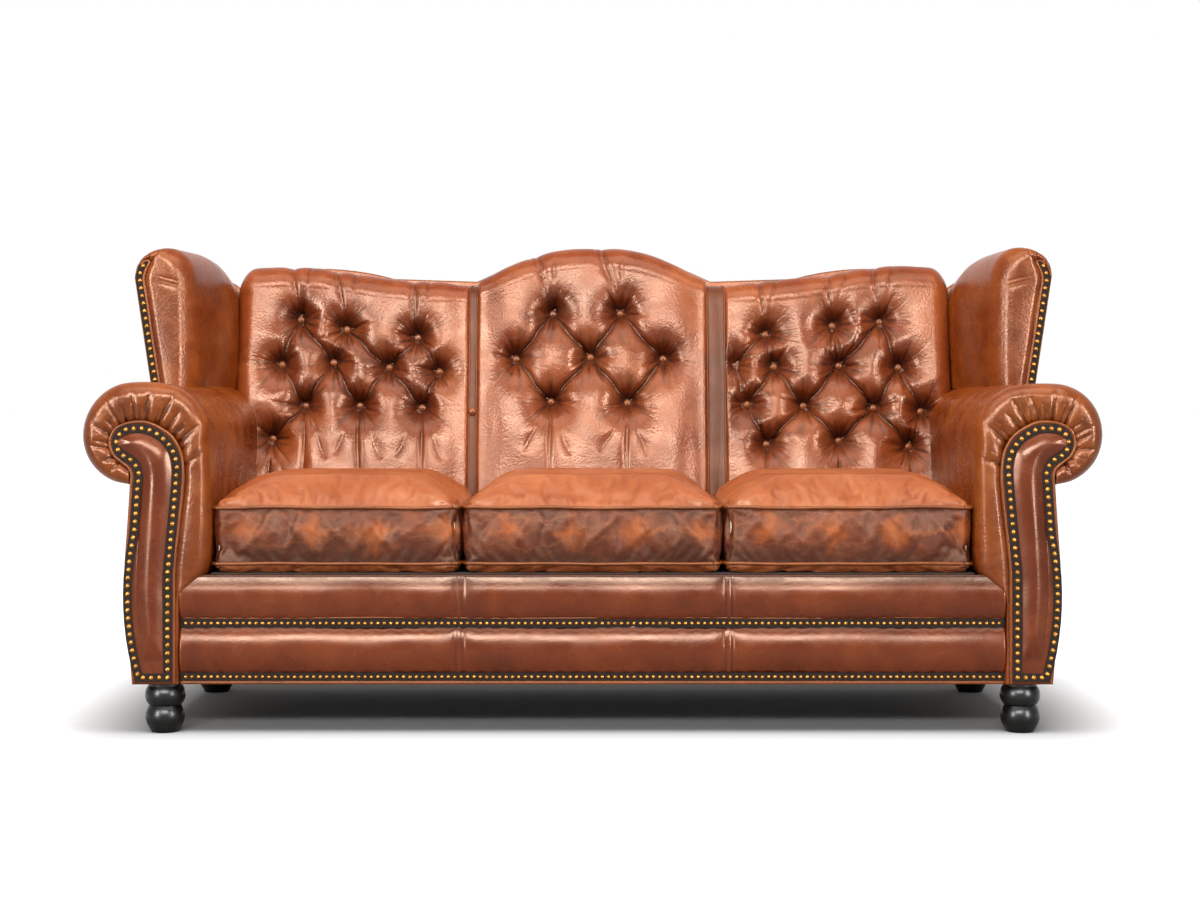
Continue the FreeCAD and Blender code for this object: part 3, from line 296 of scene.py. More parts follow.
def pull_up_leather(
    name, deep, body, pale, worn, wear=0.3, creases=0.2, roughness=0.32, drawn=0.5, grain=0.3
):
    """Waxed pull-up hide in four tones, with more or less wear and creasing.

    Drawn is how far the wax pales on the swells. Folds and gathers are marked on the meshes,
    where the hide is darkened as painted shade.
    """
    material, tree, shader = new_material(name)
    deep, body, pale, worn = [linear(tone) for tone in (deep, body, pale, worn)]
    place = add_node(tree, "ShaderNodeTexCoord").outputs["Object"]
    cloud = noise(tree, place, CLOUD, 5.0, roughness=0.6, distortion=0.6)["Fac"]
    stops = [(0.05, deep), (0.47, body), (0.95, pale)]
    tone = add_node(tree, "ShaderNodeValToRGB", {"Fac": cloud}, stops=stops).outputs["Color"]
    # worn patches
    patch = noise(tree, place, PATCH, 6.0, roughness=0.65, distortion=0.4)["Fac"]
    tone = laid_over(tree, ranged(tree, patch, 0.5, 0.72, high=wear), tone, worn)
    # fine criss-cross creases
    warp = noise(tree, place, CREASE_BEND, 3.0)["Color"]
    bent = laid_over(tree, 0.035, place, warp, "VECTOR")
    cells = add_node(
        tree,
        "ShaderNodeTexVoronoi",
        {"Vector": bent, "Scale": 1000 / CREASE, "Randomness": 1.0},
        feature="DISTANCE_TO_EDGE",
    )
    line = ranged(tree, cells.outputs["Distance"], 0.0, 0.035, 1.0, 0.0)
    here = ranged(tree, noise(tree, place, CREASED_AREA, 2.0)["Fac"], 0.46, 0.66, high=creases)
    crease = reckon(tree, "MULTIPLY", line, here)
    tone = laid_over(tree, crease, tone, pale)
    # wax drawn thin on the swells pales them; the concave folds are darkened, partly as wax kept
    # there and partly as painted shade
    swell = add_node(tree, "ShaderNodeNewGeometry").outputs["Pointiness"]
    tone = laid_over(tree, ranged(tree, swell, 0.5, 0.56, high=drawn), tone, pale)
    tone = laid_over(tree, ranged(tree, swell, 0.5, 0.43, high=0.85), tone, deep)
    # painted shade in the hollows and folds marked on the meshes, and in the fine gathers that run
    # out from a button or a seam
    hollow = add_node(tree, "ShaderNodeAttribute", attribute_name="fold").outputs["Fac"]
    tone = laid_over(tree, hollow, tone, deep)
    spoke = add_node(tree, "ShaderNodeAttribute", attribute_name="spoke").outputs["Vector"]
    gathered = add_node(tree, "ShaderNodeAttribute", attribute_name="gather").outputs["Fac"]
    spread = add_node(
        tree, "ShaderNodeTexNoise", {"Vector": spoke, "Scale": SPOKES, "Detail": 2.0, "Roughness": 0.6}
    )
    # thin dark spokes of painted shade along the creases of the gathers
    thin = ranged(tree, spread.outputs["Fac"], 0.50, 0.68, **SMOOTH)
    rays = reckon(tree, "MULTIPLY", thin, gathered)
    tone = laid_over(tree, rays, tone, deep)
    tree.links.new(tone, shader.inputs["Base Color"])
    # pebbled grain, drawn coarser than a hide's 1 mm so that it shows
    pebble = add_node(
        tree, "ShaderNodeTexVoronoi", {"Vector": place, "Scale": 1000 / GRAIN, "Randomness": 1.0}
    ).outputs["Distance"]
    height = reckon(tree, "ADD", pebble, noise(tree, place, FINE_GRAIN, 6.0)["Fac"])
    dented = reckon(tree, "MULTIPLY_ADD", rays, -4.0, reckon(tree, "SUBTRACT", height, crease))
    relief = add_node(tree, "ShaderNodeBump", {"Height": dented, "Distance": 0.0008, "Strength": grain})
    tree.links.new(relief.outputs["Normal"], shader.inputs["Normal"])
    gloss = ranged(tree, patch, 0.3, 0.7, roughness - 0.07, roughness + 0.1)
    tree.links.new(gloss, shader.inputs["Roughness"])
    shader.inputs["Specular IOR Level"].default_value = 0.27
    shader.inputs["Specular Tint"].default_value = linear(GLOSS_TINT)
    return material


# worn stars on the boxing of the seats: distance apart, height over the floor, half width and rise
FLAME_PITCH = 0.126
FLAME_LEVEL = 0.432
FLAME_HALF = 0.055
FLAME_RISE = 0.042


def add_flames(material, flame, crease, dark):
    """Orange patches in a row where the wax has worn off a boxing, and long crossing creases."""
    tree = material.node_tree
    shader = next(node for node in tree.nodes if node.type == "BSDF_PRINCIPLED")
    tone = shader.inputs["Base Color"].links[0].from_socket
    place = add_node(tree, "ShaderNodeTexCoord").outputs["Object"]
    warp = noise(tree, place, PATCH, 5.0, roughness=0.6)["Color"]
    bent = laid_over(tree, 0.08, place, warp, "VECTOR")
    level = add_node(tree, "ShaderNodeSeparateXYZ", {"Vector": bent}).outputs

    def worn_away(value, reach):
        return reckon(tree, "POWER", reckon(tree, "DIVIDE", value, reach), 0.72)

    aside = reckon(tree, "PINGPONG", level["X"], FLAME_PITCH / 2)
    apart = reckon(tree, "ABSOLUTE", reckon(tree, "ADD", level["Z"], -FLAME_LEVEL))
    star = reckon(tree, "ADD", worn_away(aside, FLAME_HALF), worn_away(apart, FLAME_RISE))
    # darker towards the bottom of the boxing
    darker_towards_bottom = ranged(tree, level["Z"], 0.412, 0.375, high=0.6, **SMOOTH)
    tone = laid_over(tree, darker_towards_bottom, tone, linear(dark))
    tone = laid_over(tree, ranged(tree, star, 1.25, 0.15, high=0.75, **SMOOTH), tone, linear(flame))
    upper = ranged(tree, level["Z"], 0.375, 0.425, **SMOOTH)
    for lean in (0.62, -0.55):
        turned = add_node(
            tree, "ShaderNodeMapping", {"Vector": bent, "Rotation": (0, lean, 0), "Scale": (0.15, 0.15, 1.0)}
        ).outputs[0]
        bands = {"Vector": turned, "Scale": 7.0, "Distortion": 0.8, "Detail": 2.0}
        wave = add_node(tree, "ShaderNodeTexWave", bands, bands_direction="Z").outputs["Fac"]
        thin = ranged(tree, wave, 0.95, 1.0, high=0.28)
        tone = laid_over(tree, reckon(tree, "MULTIPLY", thin, upper), tone, linear(crease))
    tree.links.new(tone, shader.inputs["Base Color"])


cognac = pull_up_leather("cognac_pull_up_leather", "#2b0d05", "#793212", "#ab5d2f", "#a0501a", roughness=0.27)
saddle = pull_up_leather("saddle_pull_up_leather", "#381105", "#74310d", "#a65a20", "#ac5916", roughness=0.27)
worn_edge = pull_up_leather(
    "piping_pull_up_leather", "#3a1407", "#733611", "#9d5621", "#9c5218", creases=0.1, drawn=0.1
)
base_hide = pull_up_leather(
    "base_pull_up_leather", "#310f07", "#67280f", "#8c431e", "#863c16",
    wear=0.15, creases=0.05, roughness=0.24, grain=0.10,
)
seam_hide = pull_up_leather(
    "seam_pull_up_leather", "#260b05", "#592410", "#824622", "#81401a", roughness=0.50, drawn=0.2
)
seat_hide = pull_up_leather("seat_pull_up_leather", "#70311a", "#9c5029", "#c47b52", "#b25b25", drawn=0.5)
boxing_hide = pull_up_leather(
    "boxing_worn_leather", "#200904", "#521c0a", "#80391a", "#a04a12", wear=0.3, creases=0.5, roughness=0.54
)
add_flames(boxing_hide, "#aa5010", "#96542c", "#200904")

# Tufted back: three padded panels of hide over foam. Waxed twine pulls each covered button into
# the foam, and the spare hide is folded into pleats that run from button to button, up over the
# top edge and down to the seat.
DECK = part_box("deck_pad")[1][2]
FACE_LOW = DECK + 0.001
BACK_DEPTH = 0.163
BACK_PANEL = 0.010
BACK_LEAN = 0.18
CAMEL_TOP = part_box("outside_back")[1][2]
BACK_HALF = 0.868
ARM_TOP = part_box("arm_cover_right")[1][2]
SEAT_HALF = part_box("arm_cover_right")[0][0]
HIDE = 0.003
TOP_ROLL = 0.052
SEAM_ROLL = 0.012
OUTER_ROLL = 0.044
SIDE_WALL = 0.085
BACK_GRID = 0.0025
BACK_ROWS = 330
BUTTON_DEPTH = 0.056
BUTTON_RADIUS = 0.0095
BUTTON_SEAT = BUTTON_DEPTH - 0.020
HIDE_LIMIT = 0.061
CREASES_PER_BUTTON = 14


def back_face(height):
    """Y of the leaning face of the back at a height."""
    return cad_high[1] - BACK_DEPTH - BACK_LEAN * (CAMEL_TOP - height)


def places_of(piece):
    """The corners of a piece as rows of x, y and z."""
    flat = np.empty(len(piece.data.vertices) * 3)
    piece.data.vertices.foreach_get("co", flat)
    return flat.reshape(-1, 3)


def set_places(piece, places):
    piece.data.vertices.foreach_set("co", places.ravel())
    piece.data.update()


def make_grid(name, columns, rows, shape):
    """A grid whose corners are placed by a formula of two numbers that run from 0 to 1."""
    bpy.ops.object.select_all(action="DESELECT")
    bpy.ops.mesh.primitive_grid_add(x_subdivisions=columns, y_subdivisions=rows, size=2)
    piece = bpy.context.object
    piece.name = name
    across, along = (places_of(piece)[:, :2].T + 1) / 2
    set_places(piece, np.stack(np.broadcast_arrays(*shape(across, along)), axis=1))
    bpy.ops.object.shade_smooth()
    return piece


def mark(piece, name, values):
    """Store a number or a vector at each corner of a piece for its leather to read."""
    kind, field = ("FLOAT", "value") if np.ndim(values) == 1 else ("FLOAT_VECTOR", "vector")
    layer = piece.data.attributes.new(name, kind, "POINT")
    layer.data.foreach_set(field, np.asarray(values, np.float32).ravel())


def pick(piece):
    """Select a piece alone."""
    bpy.ops.object.select_all(action="DESELECT")
    piece.select_set(True)
    bpy.context.view_layer.objects.active = piece


def close_shell(piece):
    """Fill the open rim of a grid, out of sight."""
    pick(piece)
    bpy.ops.object.mode_set(mode="EDIT")
    bpy.ops.mesh.select_all(action="DESELECT")
    bpy.ops.mesh.select_mode(type="EDGE")
    bpy.ops.mesh.select_non_manifold(extend=False)
    bpy.ops.mesh.edge_face_add()
    bpy.ops.object.mode_set(mode="OBJECT")


def thicken(piece):
    """Give a skin the thickness of a hide and its lining, inwards."""
    hide = piece.modifiers.new("hide", "SOLIDIFY")
    hide.thickness = HIDE
    hide.offset = -1
    pick(piece)
    bpy.ops.object.modifier_apply(modifier=hide.name)


def turn_out(piece, side):
    """Turn the faces of a piece that was mirrored to the left."""
    if side < 0:
        bpy.ops.object.mode_set(mode="EDIT")
        bpy.ops.mesh.select_all(action="SELECT")
        bpy.ops.mesh.flip_normals()
        bpy.ops.object.mode_set(mode="OBJECT")


def dress(piece, material, body, slot, *nodes):
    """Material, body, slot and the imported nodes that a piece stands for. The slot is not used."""
    piece.data.materials.clear()
    piece.data.materials.append(material)
    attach(piece, body)
    if nodes:
        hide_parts(*nodes)
    return piece


# the camel line, as distance from the middle and height over the floor
CAMEL_LINE = [
    (0.000, 1.072), (0.065, 1.069), (0.132, 1.056), (0.196, 1.033), (0.256, 1.011), (0.292, 0.998),
]
SIDE_LINE = [
    (0.292, 0.990), (0.340, 0.990), (0.400, 0.992), (0.450, 0.995), (0.500, 0.9995), (0.554, 1.007),
    (0.613, 1.0165), (0.672, 1.024), (0.731, 1.0275), (0.789, 1.026), (0.836, 1.021), (0.868, 1.006),
]
# buttons of each section in rows from the top, as distance from the middle and height
TUFTS = {
    "center": [
        [(-0.099, 0.910), (0.065, 0.911)],
        [(-0.188, 0.800), (-0.008, 0.804), (0.169, 0.800)],
        [(-0.103, 0.696), (0.082, 0.693)],
    ],
    "left": [
        [(-0.714, 0.896), (-0.601, 0.872), (-0.428, 0.852)],
        [(-0.757, 0.786), (-0.632, 0.791), (-0.496, 0.779), (-0.374, 0.769)],
        [(-0.697, 0.686), (-0.566, 0.686), (-0.415, 0.681)],
        [(-0.775, 0.607)],
    ],
    "right": [
        [(0.418, 0.859), (0.582, 0.881), (0.697, 0.891)],
        [(0.338, 0.786), (0.438, 0.781), (0.596, 0.783), (0.740, 0.779)],
        [(0.372, 0.689), (0.508, 0.686), (0.678, 0.681), (0.792, 0.672)],
        [(0.417, 0.593), (0.592, 0.602), (0.761, 0.588)],
    ],
}
PLEAT_REACH = 0.172


def smooth_line(points, where):
    """Height of a line through points, rounded between them."""
    xs, zs = np.array(points).T
    slopes = np.gradient(zs, xs)
    index = np.clip(np.searchsorted(xs, where) - 1, 0, len(xs) - 2)
    span = xs[index + 1] - xs[index]
    t = np.clip((where - xs[index]) / span, 0, 1)
    return (
        (2 * t**3 - 3 * t**2 + 1) * zs[index]
        + (t**3 - 2 * t**2 + t) * span * slopes[index]
        + (3 * t**2 - 2 * t**3) * zs[index + 1]
        + (t**3 - t**2) * span * slopes[index + 1]
    )


def smooth_path(points, where, shares=None):
    """Coordinates along a run of points, whose places run from 0 to 1 unless they are given."""
    if shares is None:
        shares = np.linspace(0, 1, len(points))
    return [smooth_line(list(zip(shares, line)), where) for line in np.array(points).T]


def uneven(chance, count, size, reach, *places):
    """A few low random waves, as hand work leaves in a padded surface."""
    total = 0
    for _ in range(count):
        wave = chance.uniform(-reach, reach, len(places))
        phase = sum(number * place for number, place in zip(wave, places))
        total = total + size * np.sin(phase + chance.uniform(0, 6))
    return total


def pleats_of(rows, low, high):
    """Folds between neighbouring buttons, up from the top row and down from the lowest."""
    folds = []
    for upper, lower in zip(rows, rows[1:]):
        for start in upper:
            for end in lower:
                reach = math.hypot(start[0] - end[0], start[1] - end[1])
                if reach < PLEAT_REACH:
                    folds.append((start, end, 0.041, 0.041, 0.0250, 1.0))
    for number, (x, z) in enumerate(rows[0]):
        sway = 0.018 * math.sin(4.1 * number + 17 * x)
        folds.append(((x, z), (x - 0.034 + sway, high + 0.11), 0.026, 0.0020, 0.0080, 0.50))
        folds.append(((x, z), (x - 0.052 + sway, high + 0.11), 0.020, 0.0012, 0.0050, 0.35))
        folds.append(((x, z), (x + 0.022 + sway, high + 0.05), 0.022, 0.0005, 0.0040, 0.50))
    hanging = rows[-1] if len(rows[-1]) > 1 else (*rows[-2], *rows[-1])
    for number, (x, z) in enumerate(hanging):
        sway = 0.010 * math.sin(3.3 * number + 23 * x)
        folds.append(((x, z), (x + 0.004 + sway / 2, low), 0.026, 0.0040, 0.0070, 0.40))
        folds.append(((x, z), (x - 0.060 + sway, z - 0.120), 0.024, 0.0, 0.0050, 0.60))
        folds.append(((x, z), (x + 0.056 + sway, z - 0.130), 0.024, 0.0, 0.0050, 0.60))
    return folds


def tuft_depth(x, z, rows, low, high, seed):
    """How deep the hide is drawn in at each point of a section."""
    chance = np.random.RandomState(seed)
    power = 5.0
    total = np.zeros_like(x)
    buttons = [button for row in rows for button in row]
    for start, end, first, last, middle, wide in pleats_of(rows, low, high):
        run = np.array(end) - np.array(start)
        length = math.hypot(*run)
        share = ((x - start[0]) * run[0] + (z - start[1]) * run[1]) / length**2
        aside = ((x - start[0]) * run[1] - (z - start[1]) * run[0]) / length
        held = np.clip(share, 0, 1)
        aside = aside + 0.003 * np.sin(share * 7 + chance.uniform(0, 6)) * np.sin(np.pi * held)
        apart = np.hypot(aside, (held - share) * length)
        ends = first + (last - first) * held
        depth = middle + (ends - middle) * np.abs(2 * held - 1) ** 1.6
        width = wide * chance.uniform(0.9, 1.15)
        groove = (
            0.40 * np.exp(-apart / (0.0050 * width))
            + 0.22 * np.exp(-((apart / (0.018 * width)) ** 2))
            + 0.38 * np.exp(-((apart / (0.046 * width)) ** 2))
        )
        total += (depth * groove) ** power
    nearest = np.full_like(x, 9.0)
    spoke = np.zeros((x.size, 3))
    for bx, bz in buttons:
        far = np.hypot(x - bx, z - bz)
        pull = (
            0.40 * np.exp(-far / 0.013)
            + 0.35 * np.exp(-((far / 0.034) ** 2))
            + 0.25 * np.exp(-((far / 0.064) ** 2))
        )
        total += (BUTTON_DEPTH * chance.uniform(0.92, 1.03) * pull) ** power
        closer = far < nearest
        nearest = np.minimum(far, nearest)
        apart = far + 1e-6
        out = np.stack([(x - bx) / apart, (z - bz) / apart, 4 * far + 7 * bx + 3 * bz], axis=1)
        spoke[closer] = out[closer]
    depth = total ** (1 / power)
    # painted shade: darker with the depth of each hollow and more on the upper side of each button, which
    # faces down away from the light overhead; thin spokes of painted shade run out round each button
    above = np.clip(spoke[:, 1], 0, 1) * np.clip(1 - nearest / 0.100, 0, 1)
    fold = np.clip(1.05 * (depth / BUTTON_DEPTH) ** 1.2 + 0.42 * above, 0, 0.96)
    gather = np.clip((nearest - 0.007) / 0.010, 0, 1) * np.clip(1.0 - nearest / 0.105, 0, 1)
    for bx, bz in buttons:
        far = np.hypot(x - bx, z - bz)
        turn = np.arctan2(z - bz, x - bx)
        for _ in range(CREASES_PER_BUTTON):
            way = chance.uniform(-np.pi, np.pi)
            reach = chance.uniform(0.040, 0.078)
            off = np.abs((turn - way + np.pi) % (2 * np.pi) - np.pi) * far
            crease = np.exp(-off / 0.0018) + 0.5 * np.exp(-((off / 0.005) ** 2))
            near = np.clip((far - 0.008) / 0.008, 0, 1) * np.clip(1 - far / reach, 0, 1)
            depth = depth + 0.0042 * chance.uniform(0.5, 1.1) * crease * near
    depth = depth + uneven(chance, 10, 0.0006, 26, x, z)
    return np.minimum(depth, HIDE_LIMIT), fold, spoke, gather


# shares of the way over the back that are its face and its top roll
FACE_SHARE = 0.78
ROLL_SHARE = 0.10


def over_back(line, x, along, inward):
    """Y and height on the back, along it from the seat over the top to the rear."""
    top = smooth_line(line, np.abs(x))
    rise = np.clip(along / FACE_SHARE, 0, 1)
    tip = np.clip((along - FACE_SHARE) / ROLL_SHARE, 0, 1) * math.pi / 2
    deep = np.clip((along - FACE_SHARE - ROLL_SHARE) / (1 - FACE_SHARE - ROLL_SHARE), 0, 1)
    z_face = FACE_LOW + (top - TOP_ROLL - FACE_LOW) * rise
    behind = TOP_ROLL * (1 - np.cos(tip)) + (BACK_DEPTH - BACK_PANEL - TOP_ROLL) * deep
    held = inward(z_face + TOP_ROLL * tip, tip, deep)
    y = back_face(z_face) + behind + held * np.cos(tip)
    return y, z_face + TOP_ROLL * np.sin(tip) - 0.004 * deep**2 - held * np.sin(tip)


def back_section(label, west, east, line, seed):
    """One padded section: a leaning face rolled over at the top and in at its sides."""
    rows = TUFTS[label]
    marks = {}

    def shape(across, along):
        wall, turned = 0.05, 0.07
        # across: side wall, rounded corner, face, rounded corner, side wall
        half = np.abs(across - 0.5) * 2
        face_end = 1 - 2 * (wall + turned)
        side = np.sign(across - 0.5)
        middle = (west + east) / 2
        reach = (east - west) / 2
        swing = np.clip((half - face_end) / (2 * turned), 0, 1) * math.pi / 2
        sunk = np.clip((half - face_end - 2 * turned) / (2 * wall), 0, 1)
        roll = np.where((side * middle > 0) & (abs(middle) > 0.1), OUTER_ROLL, SEAM_ROLL)
        flat = np.clip(half / face_end, 0, 1) * (reach - roll)
        x = middle + side * (flat + roll * np.sin(swing))
        fall = roll * (1 - np.cos(swing)) + (SIDE_WALL - roll) * sunk
        at_seam = (reach - roll - flat) / 0.045
        fall = fall + np.where(roll < 0.02, 0.009 * np.exp(-(at_seam**2)), 0)

        def inward(run, tip, deep):
            drawn, fold, spoke, gather = tuft_depth(x, run, rows, FACE_LOW, 1.0, seed)
            seam_fade = np.clip(1 - fall / 0.03, 0, 1)
            beside = np.clip((reach - np.abs(x - middle)) / 0.032, 0, 1)
            drawn = drawn * np.where(roll < 0.02, 0.4 + 0.6 * beside, 1)
            # the marks darken the hollows and gathers as painted shade, faded out at the seams
            marks.update(fold=fold * seam_fade, spoke=spoke, gather=gather * seam_fade)
            rising = np.clip((run - FACE_LOW) / 0.16, 0, 1)
            bulge = 0.010 * np.sin(rising * math.pi / 2) * np.cos(tip)
            return fall * (1 - 0.9 * deep) + (drawn - bulge) * seam_fade * (1 - deep)

        y, z = over_back(line, x, along, inward)
        return x, y, z

    columns = int((east - west) / BACK_GRID)
    piece = make_grid(f"back_panel_{label}", columns, BACK_ROWS, shape)
    for name, values in marks.items():
        mark(piece, name, values)
    close_shell(piece)
    return dress(piece, cognac, "frame", "leather", f"back_cover_{label}")


# the two seams between the sections, each from its left to its right edge
SEAM_STRIPS = ((-0.300, -0.283), (0.276, 0.318))
SEAM_BUTTON = (-0.292, 0.673)
SEAM_MIDDLE = 0.3
STRIP_TUCK = 0.005
STRIP_RECESS = 0.0130
CORD = 0.0022
back_section("center", SEAM_STRIPS[0][1], SEAM_STRIPS[1][0], CAMEL_LINE, 3)
back_section("left", -BACK_HALF, SEAM_STRIPS[0][0], SIDE_LINE, 11)
back_section("right", SEAM_STRIPS[1][1], BACK_HALF, SIDE_LINE, 17)


def button_at(x, z, sink):
    """A covered button: a domed leather cap over a steel shell, sitting in its hollow."""
    bpy.ops.mesh.primitive_uv_sphere_add(segments=14, ring_count=8, radius=BUTTON_RADIUS)
    button = bpy.context.object
    button.scale = (1, 0.5, 1)
    button.location = (x, back_face(z) + sink, z)
    bpy.ops.object.transform_apply(location=True, rotation=True, scale=True)
    bpy.ops.object.shade_smooth()
    return button


bpy.ops.object.select_all(action="DESELECT")
caps = [button_at(x, z, BUTTON_SEAT) for rows in TUFTS.values() for row in rows for x, z in row]
caps.append(button_at(*SEAM_BUTTON, 0.006))
pick(caps[0])
for cap in caps:
    cap.select_set(True)
bpy.ops.object.join()
caps[0].name = "covered_buttons"
dress(caps[0], worn_edge, "frame", "leather", "back_buttons")


def welt(name, points, radius):
    """A round piping that follows a run of points, with its ends closed."""
    points = np.asarray(points, float)
    ways = np.gradient(points, axis=0)
    ways /= np.linalg.norm(ways, axis=1)[:, None]
    first = np.cross(ways, (0.0, 1.0, 0.0))
    first /= np.linalg.norm(first, axis=1)[:, None]
    second = np.cross(ways, first)

    def shape(across, along):
        index = np.rint(along * (len(points) - 1)).astype(int)
        turn = across * 2 * np.pi
        ring = np.cos(turn)[:, None] * first[index] + np.sin(turn)[:, None] * second[index]
        return tuple((points[index] + radius * ring).T)

    piece = make_grid(name, 10, len(points) - 1, shape)
    bpy.ops.object.mode_set(mode="EDIT")
    bpy.ops.mesh.select_all(action="SELECT")
    bpy.ops.mesh.remove_doubles(threshold=0.00001)
    bpy.ops.mesh.normals_make_consistent(inside=False)
    bpy.ops.object.mode_set(mode="OBJECT")
    close_shell(piece)
    return piece


def seam_strip(label, west, east):
    """A seam of the back: a strip of hide sewn down between two cords, over the top edge."""

    def over_top(along, recess):
        def inward(run, tip, deep):
            return recess * np.ones_like(run) * (1 - 0.9 * deep)

        return over_back(SIDE_LINE, np.full_like(along, SEAM_MIDDLE), along, inward)

    def shape(across, along):
        x = west - STRIP_TUCK + (east - west + 2 * STRIP_TUCK) * across
        tucked = np.clip(np.abs(across - 0.5) * 2 - 0.72, 0, 0.28) / 0.28
        y, z = over_top(along, STRIP_RECESS + 0.034 * tucked**1.5)
        drape = 0.0035 * np.abs(np.sin(1.5 * np.pi * (across + 0.08 * np.sin(9 * along))))
        return x, y - drape * (east - west) / 0.04, z

    strip = make_grid(f"seam_strip_{label}", 24, 240, shape)
    # the recessed strip is darkened all over as painted shade
    mark(strip, "fold", np.full(len(strip.data.vertices), 0.3))
    thicken(strip)
    dress(strip, seam_hide, "frame", "leather")
    along = np.linspace(0.002, 0.95, 260)
    for name, x in (("outer", west), ("inner", east)):
        y, z = over_top(along, STRIP_RECESS - 0.001)
        cord = welt(f"seam_cord_{label}_{name}", np.stack([np.full_like(y, x), y, z], axis=1), CORD)
        dress(cord, seam_hide, "frame", "leather")


for label, (west, east) in zip(("left", "right"), SEAM_STRIPS):
    seam_strip(label, west, east)

# Base front: two padded bands of hide over the front rail, sewn from three widths. Brass nails
# through a gimp strip pull the hide down under each band, and piping finishes the lower edge.
BASE_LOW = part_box("base_front_cover")[0][2]
BASE_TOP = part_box("base_front_cover")[1][2]
BASE_VALLEY = cad_low[1] + 0.020
BASE_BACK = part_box("base_front_cover")[1][1]
BASE_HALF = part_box("base_front_cover")[1][0]
STRIP_LOW = BASE_LOW + 0.014
STRIP_HIGH = BASE_LOW + 0.127
STRIP_HALF = 0.0095
BASE_SWELL = 0.0165
BASE_CREST = 0.0092
BASE_SEAMS = (-0.281, 0.286)
PIPING = 0.0036
# shares of the way up the base that are its front and its turn over the rail
RAIL_SHARE = 0.86
TURN_SHARE = 0.08


def base_front(across, along):
    """Two swelling bands, turned back over the rail at the top."""
    x = (across * 2 - 1) * BASE_HALF
    z = BASE_LOW + (BASE_TOP - BASE_LOW) * np.clip(along / RAIL_SHARE, 0, 1)
    swell = 0
    for low, high in ((STRIP_LOW, STRIP_HIGH - STRIP_HALF), (STRIP_HIGH, BASE_TOP + 0.006)):
        band = np.clip((z - low - STRIP_HALF) / (high - low - STRIP_HALF), 0, 1)
        swell = swell + np.sin(np.pi * band) ** 0.62
    for seam in BASE_SEAMS:
        swell = swell * (1 - 0.30 * np.exp(-(((x - seam) / 0.022) ** 2)))
    y = BASE_VALLEY - BASE_SWELL * swell
    for seam in BASE_SEAMS:
        aside = np.abs(x - seam)
        y = y + 0.0035 * np.exp(-(((aside - 0.0065) / 0.0018) ** 2))
        y = y - 0.0012 * np.exp(-((aside / 0.0035) ** 2))
    y = y + uneven(np.random.RandomState(5), 12, 0.0004, 30, x, z)
    for level in (STRIP_LOW, STRIP_HIGH):
        pull = np.exp(-(((np.abs(z - level) - STRIP_HALF) / 0.006) ** 2))
        y = y + 0.0009 * pull * np.cos(2 * np.pi * x / 0.034)
    back = np.clip((along - RAIL_SHARE) / TURN_SHARE, 0, 1)
    under = np.clip((along - RAIL_SHARE - TURN_SHARE) / (1 - RAIL_SHARE - TURN_SHARE), 0, 1)
    crest = BASE_CREST * np.sin(np.pi * np.clip((along - 0.80) / 0.16, 0, 1))
    return x, y + (BASE_BACK - y) * back, z - 0.02 * under + crest


base = make_grid("base_front", 420, 84, base_front)
level = places_of(base)[:, 2]
# painted shadow along the top of the base, under the cushions, and a narrow darker line along both edges of
# each nail strip
shadow_under_seat = np.clip((level - BASE_TOP + 0.016) / 0.014, 0, 1)
at_strip = np.minimum(np.abs(level - STRIP_LOW), np.abs(level - STRIP_HIGH)) - STRIP_HALF
mark(base, "fold", np.clip(0.95 * shadow_under_seat + 0.5 * np.exp(-((at_strip / 0.005) ** 2)), 0, 1))
thicken(base)
dress(base, base_hide, "frame", "leather", "base_front_cover")


for name, level, radius, sway in (
    ("base_edge_piping", BASE_LOW + 0.0025, PIPING, 0),
    ("base_band_piping", STRIP_HIGH + 0.0115, 0.0021, 0.0008),
):
    run = [
        (x, BASE_VALLEY - radius * 0.7, level + sway * math.sin(11 * x))
        for x in np.linspace(-BASE_HALF, BASE_HALF, 240)
    ]
    dress(welt(name, run, radius), worn_edge, "frame", "leather")

# Arms: hide over wadding, wrapped round the roll and drawn over the front of the arm, where it is
# gathered into the edge of a padded scroll board. The board is nailed on and piped all round.
ARM_FRONT = cad_low[1] + 0.004
BOARD_FACE = cad_low[1] + 0.006
BOARD_BACK = BOARD_FACE + 0.010
BOARD_SWELL = 0.0125
BOARD_WALL = 0.06
ROLL_RADIUS = 0.108
ROLL_MIDDLE = ARM_TOP - ROLL_RADIUS
ROLL_INNER = SEAT_HALF + ROLL_RADIUS
ROLL_OUTER = ROLL_INNER + 0.051
SCROLL_EYE = (0.940, 0.612)
ARM_EDGE = 0.030


def arc(x, z, radius, start, end, count):
    """Points on an arc between two angles in degrees."""
    turns = np.radians(np.linspace(start, end, count))
    return [(x + radius * math.cos(turn), z + radius * math.sin(turn)) for turn in turns]


ARM_LINE = [
    (0.869, 0.105), (0.869, 0.165), (0.869, 0.225), (0.868, 0.275), (0.858, 0.300), (0.832, 0.322),
    (0.815, 0.338), (0.809, 0.365), (0.808, 0.410), (0.808, 0.460), (0.808, 0.510), (0.808, 0.560),
    *arc(ROLL_INNER, ROLL_MIDDLE, ROLL_RADIUS, 188, 90, 6),
    *arc(ROLL_OUTER, ROLL_MIDDLE, ROLL_RADIUS, 90, -86, 10),
]
# the edge of the scroll board, with each place's number on the line above
SCROLL_LINE = [
    (0, 0.879, 0.105), (3, 0.879, 0.270), (6, 0.878, 0.350), (9, 0.867, 0.460), (11, 0.860, 0.545),
    (13, 0.871, 0.603), (15, 0.903, 0.640), (17, 0.936, 0.655), (18, 0.963, 0.656), (20, 0.993, 0.647),
    (23, 1.0135, 0.608), (25, 1.001, 0.581), (27, 0.974, 0.558),
]
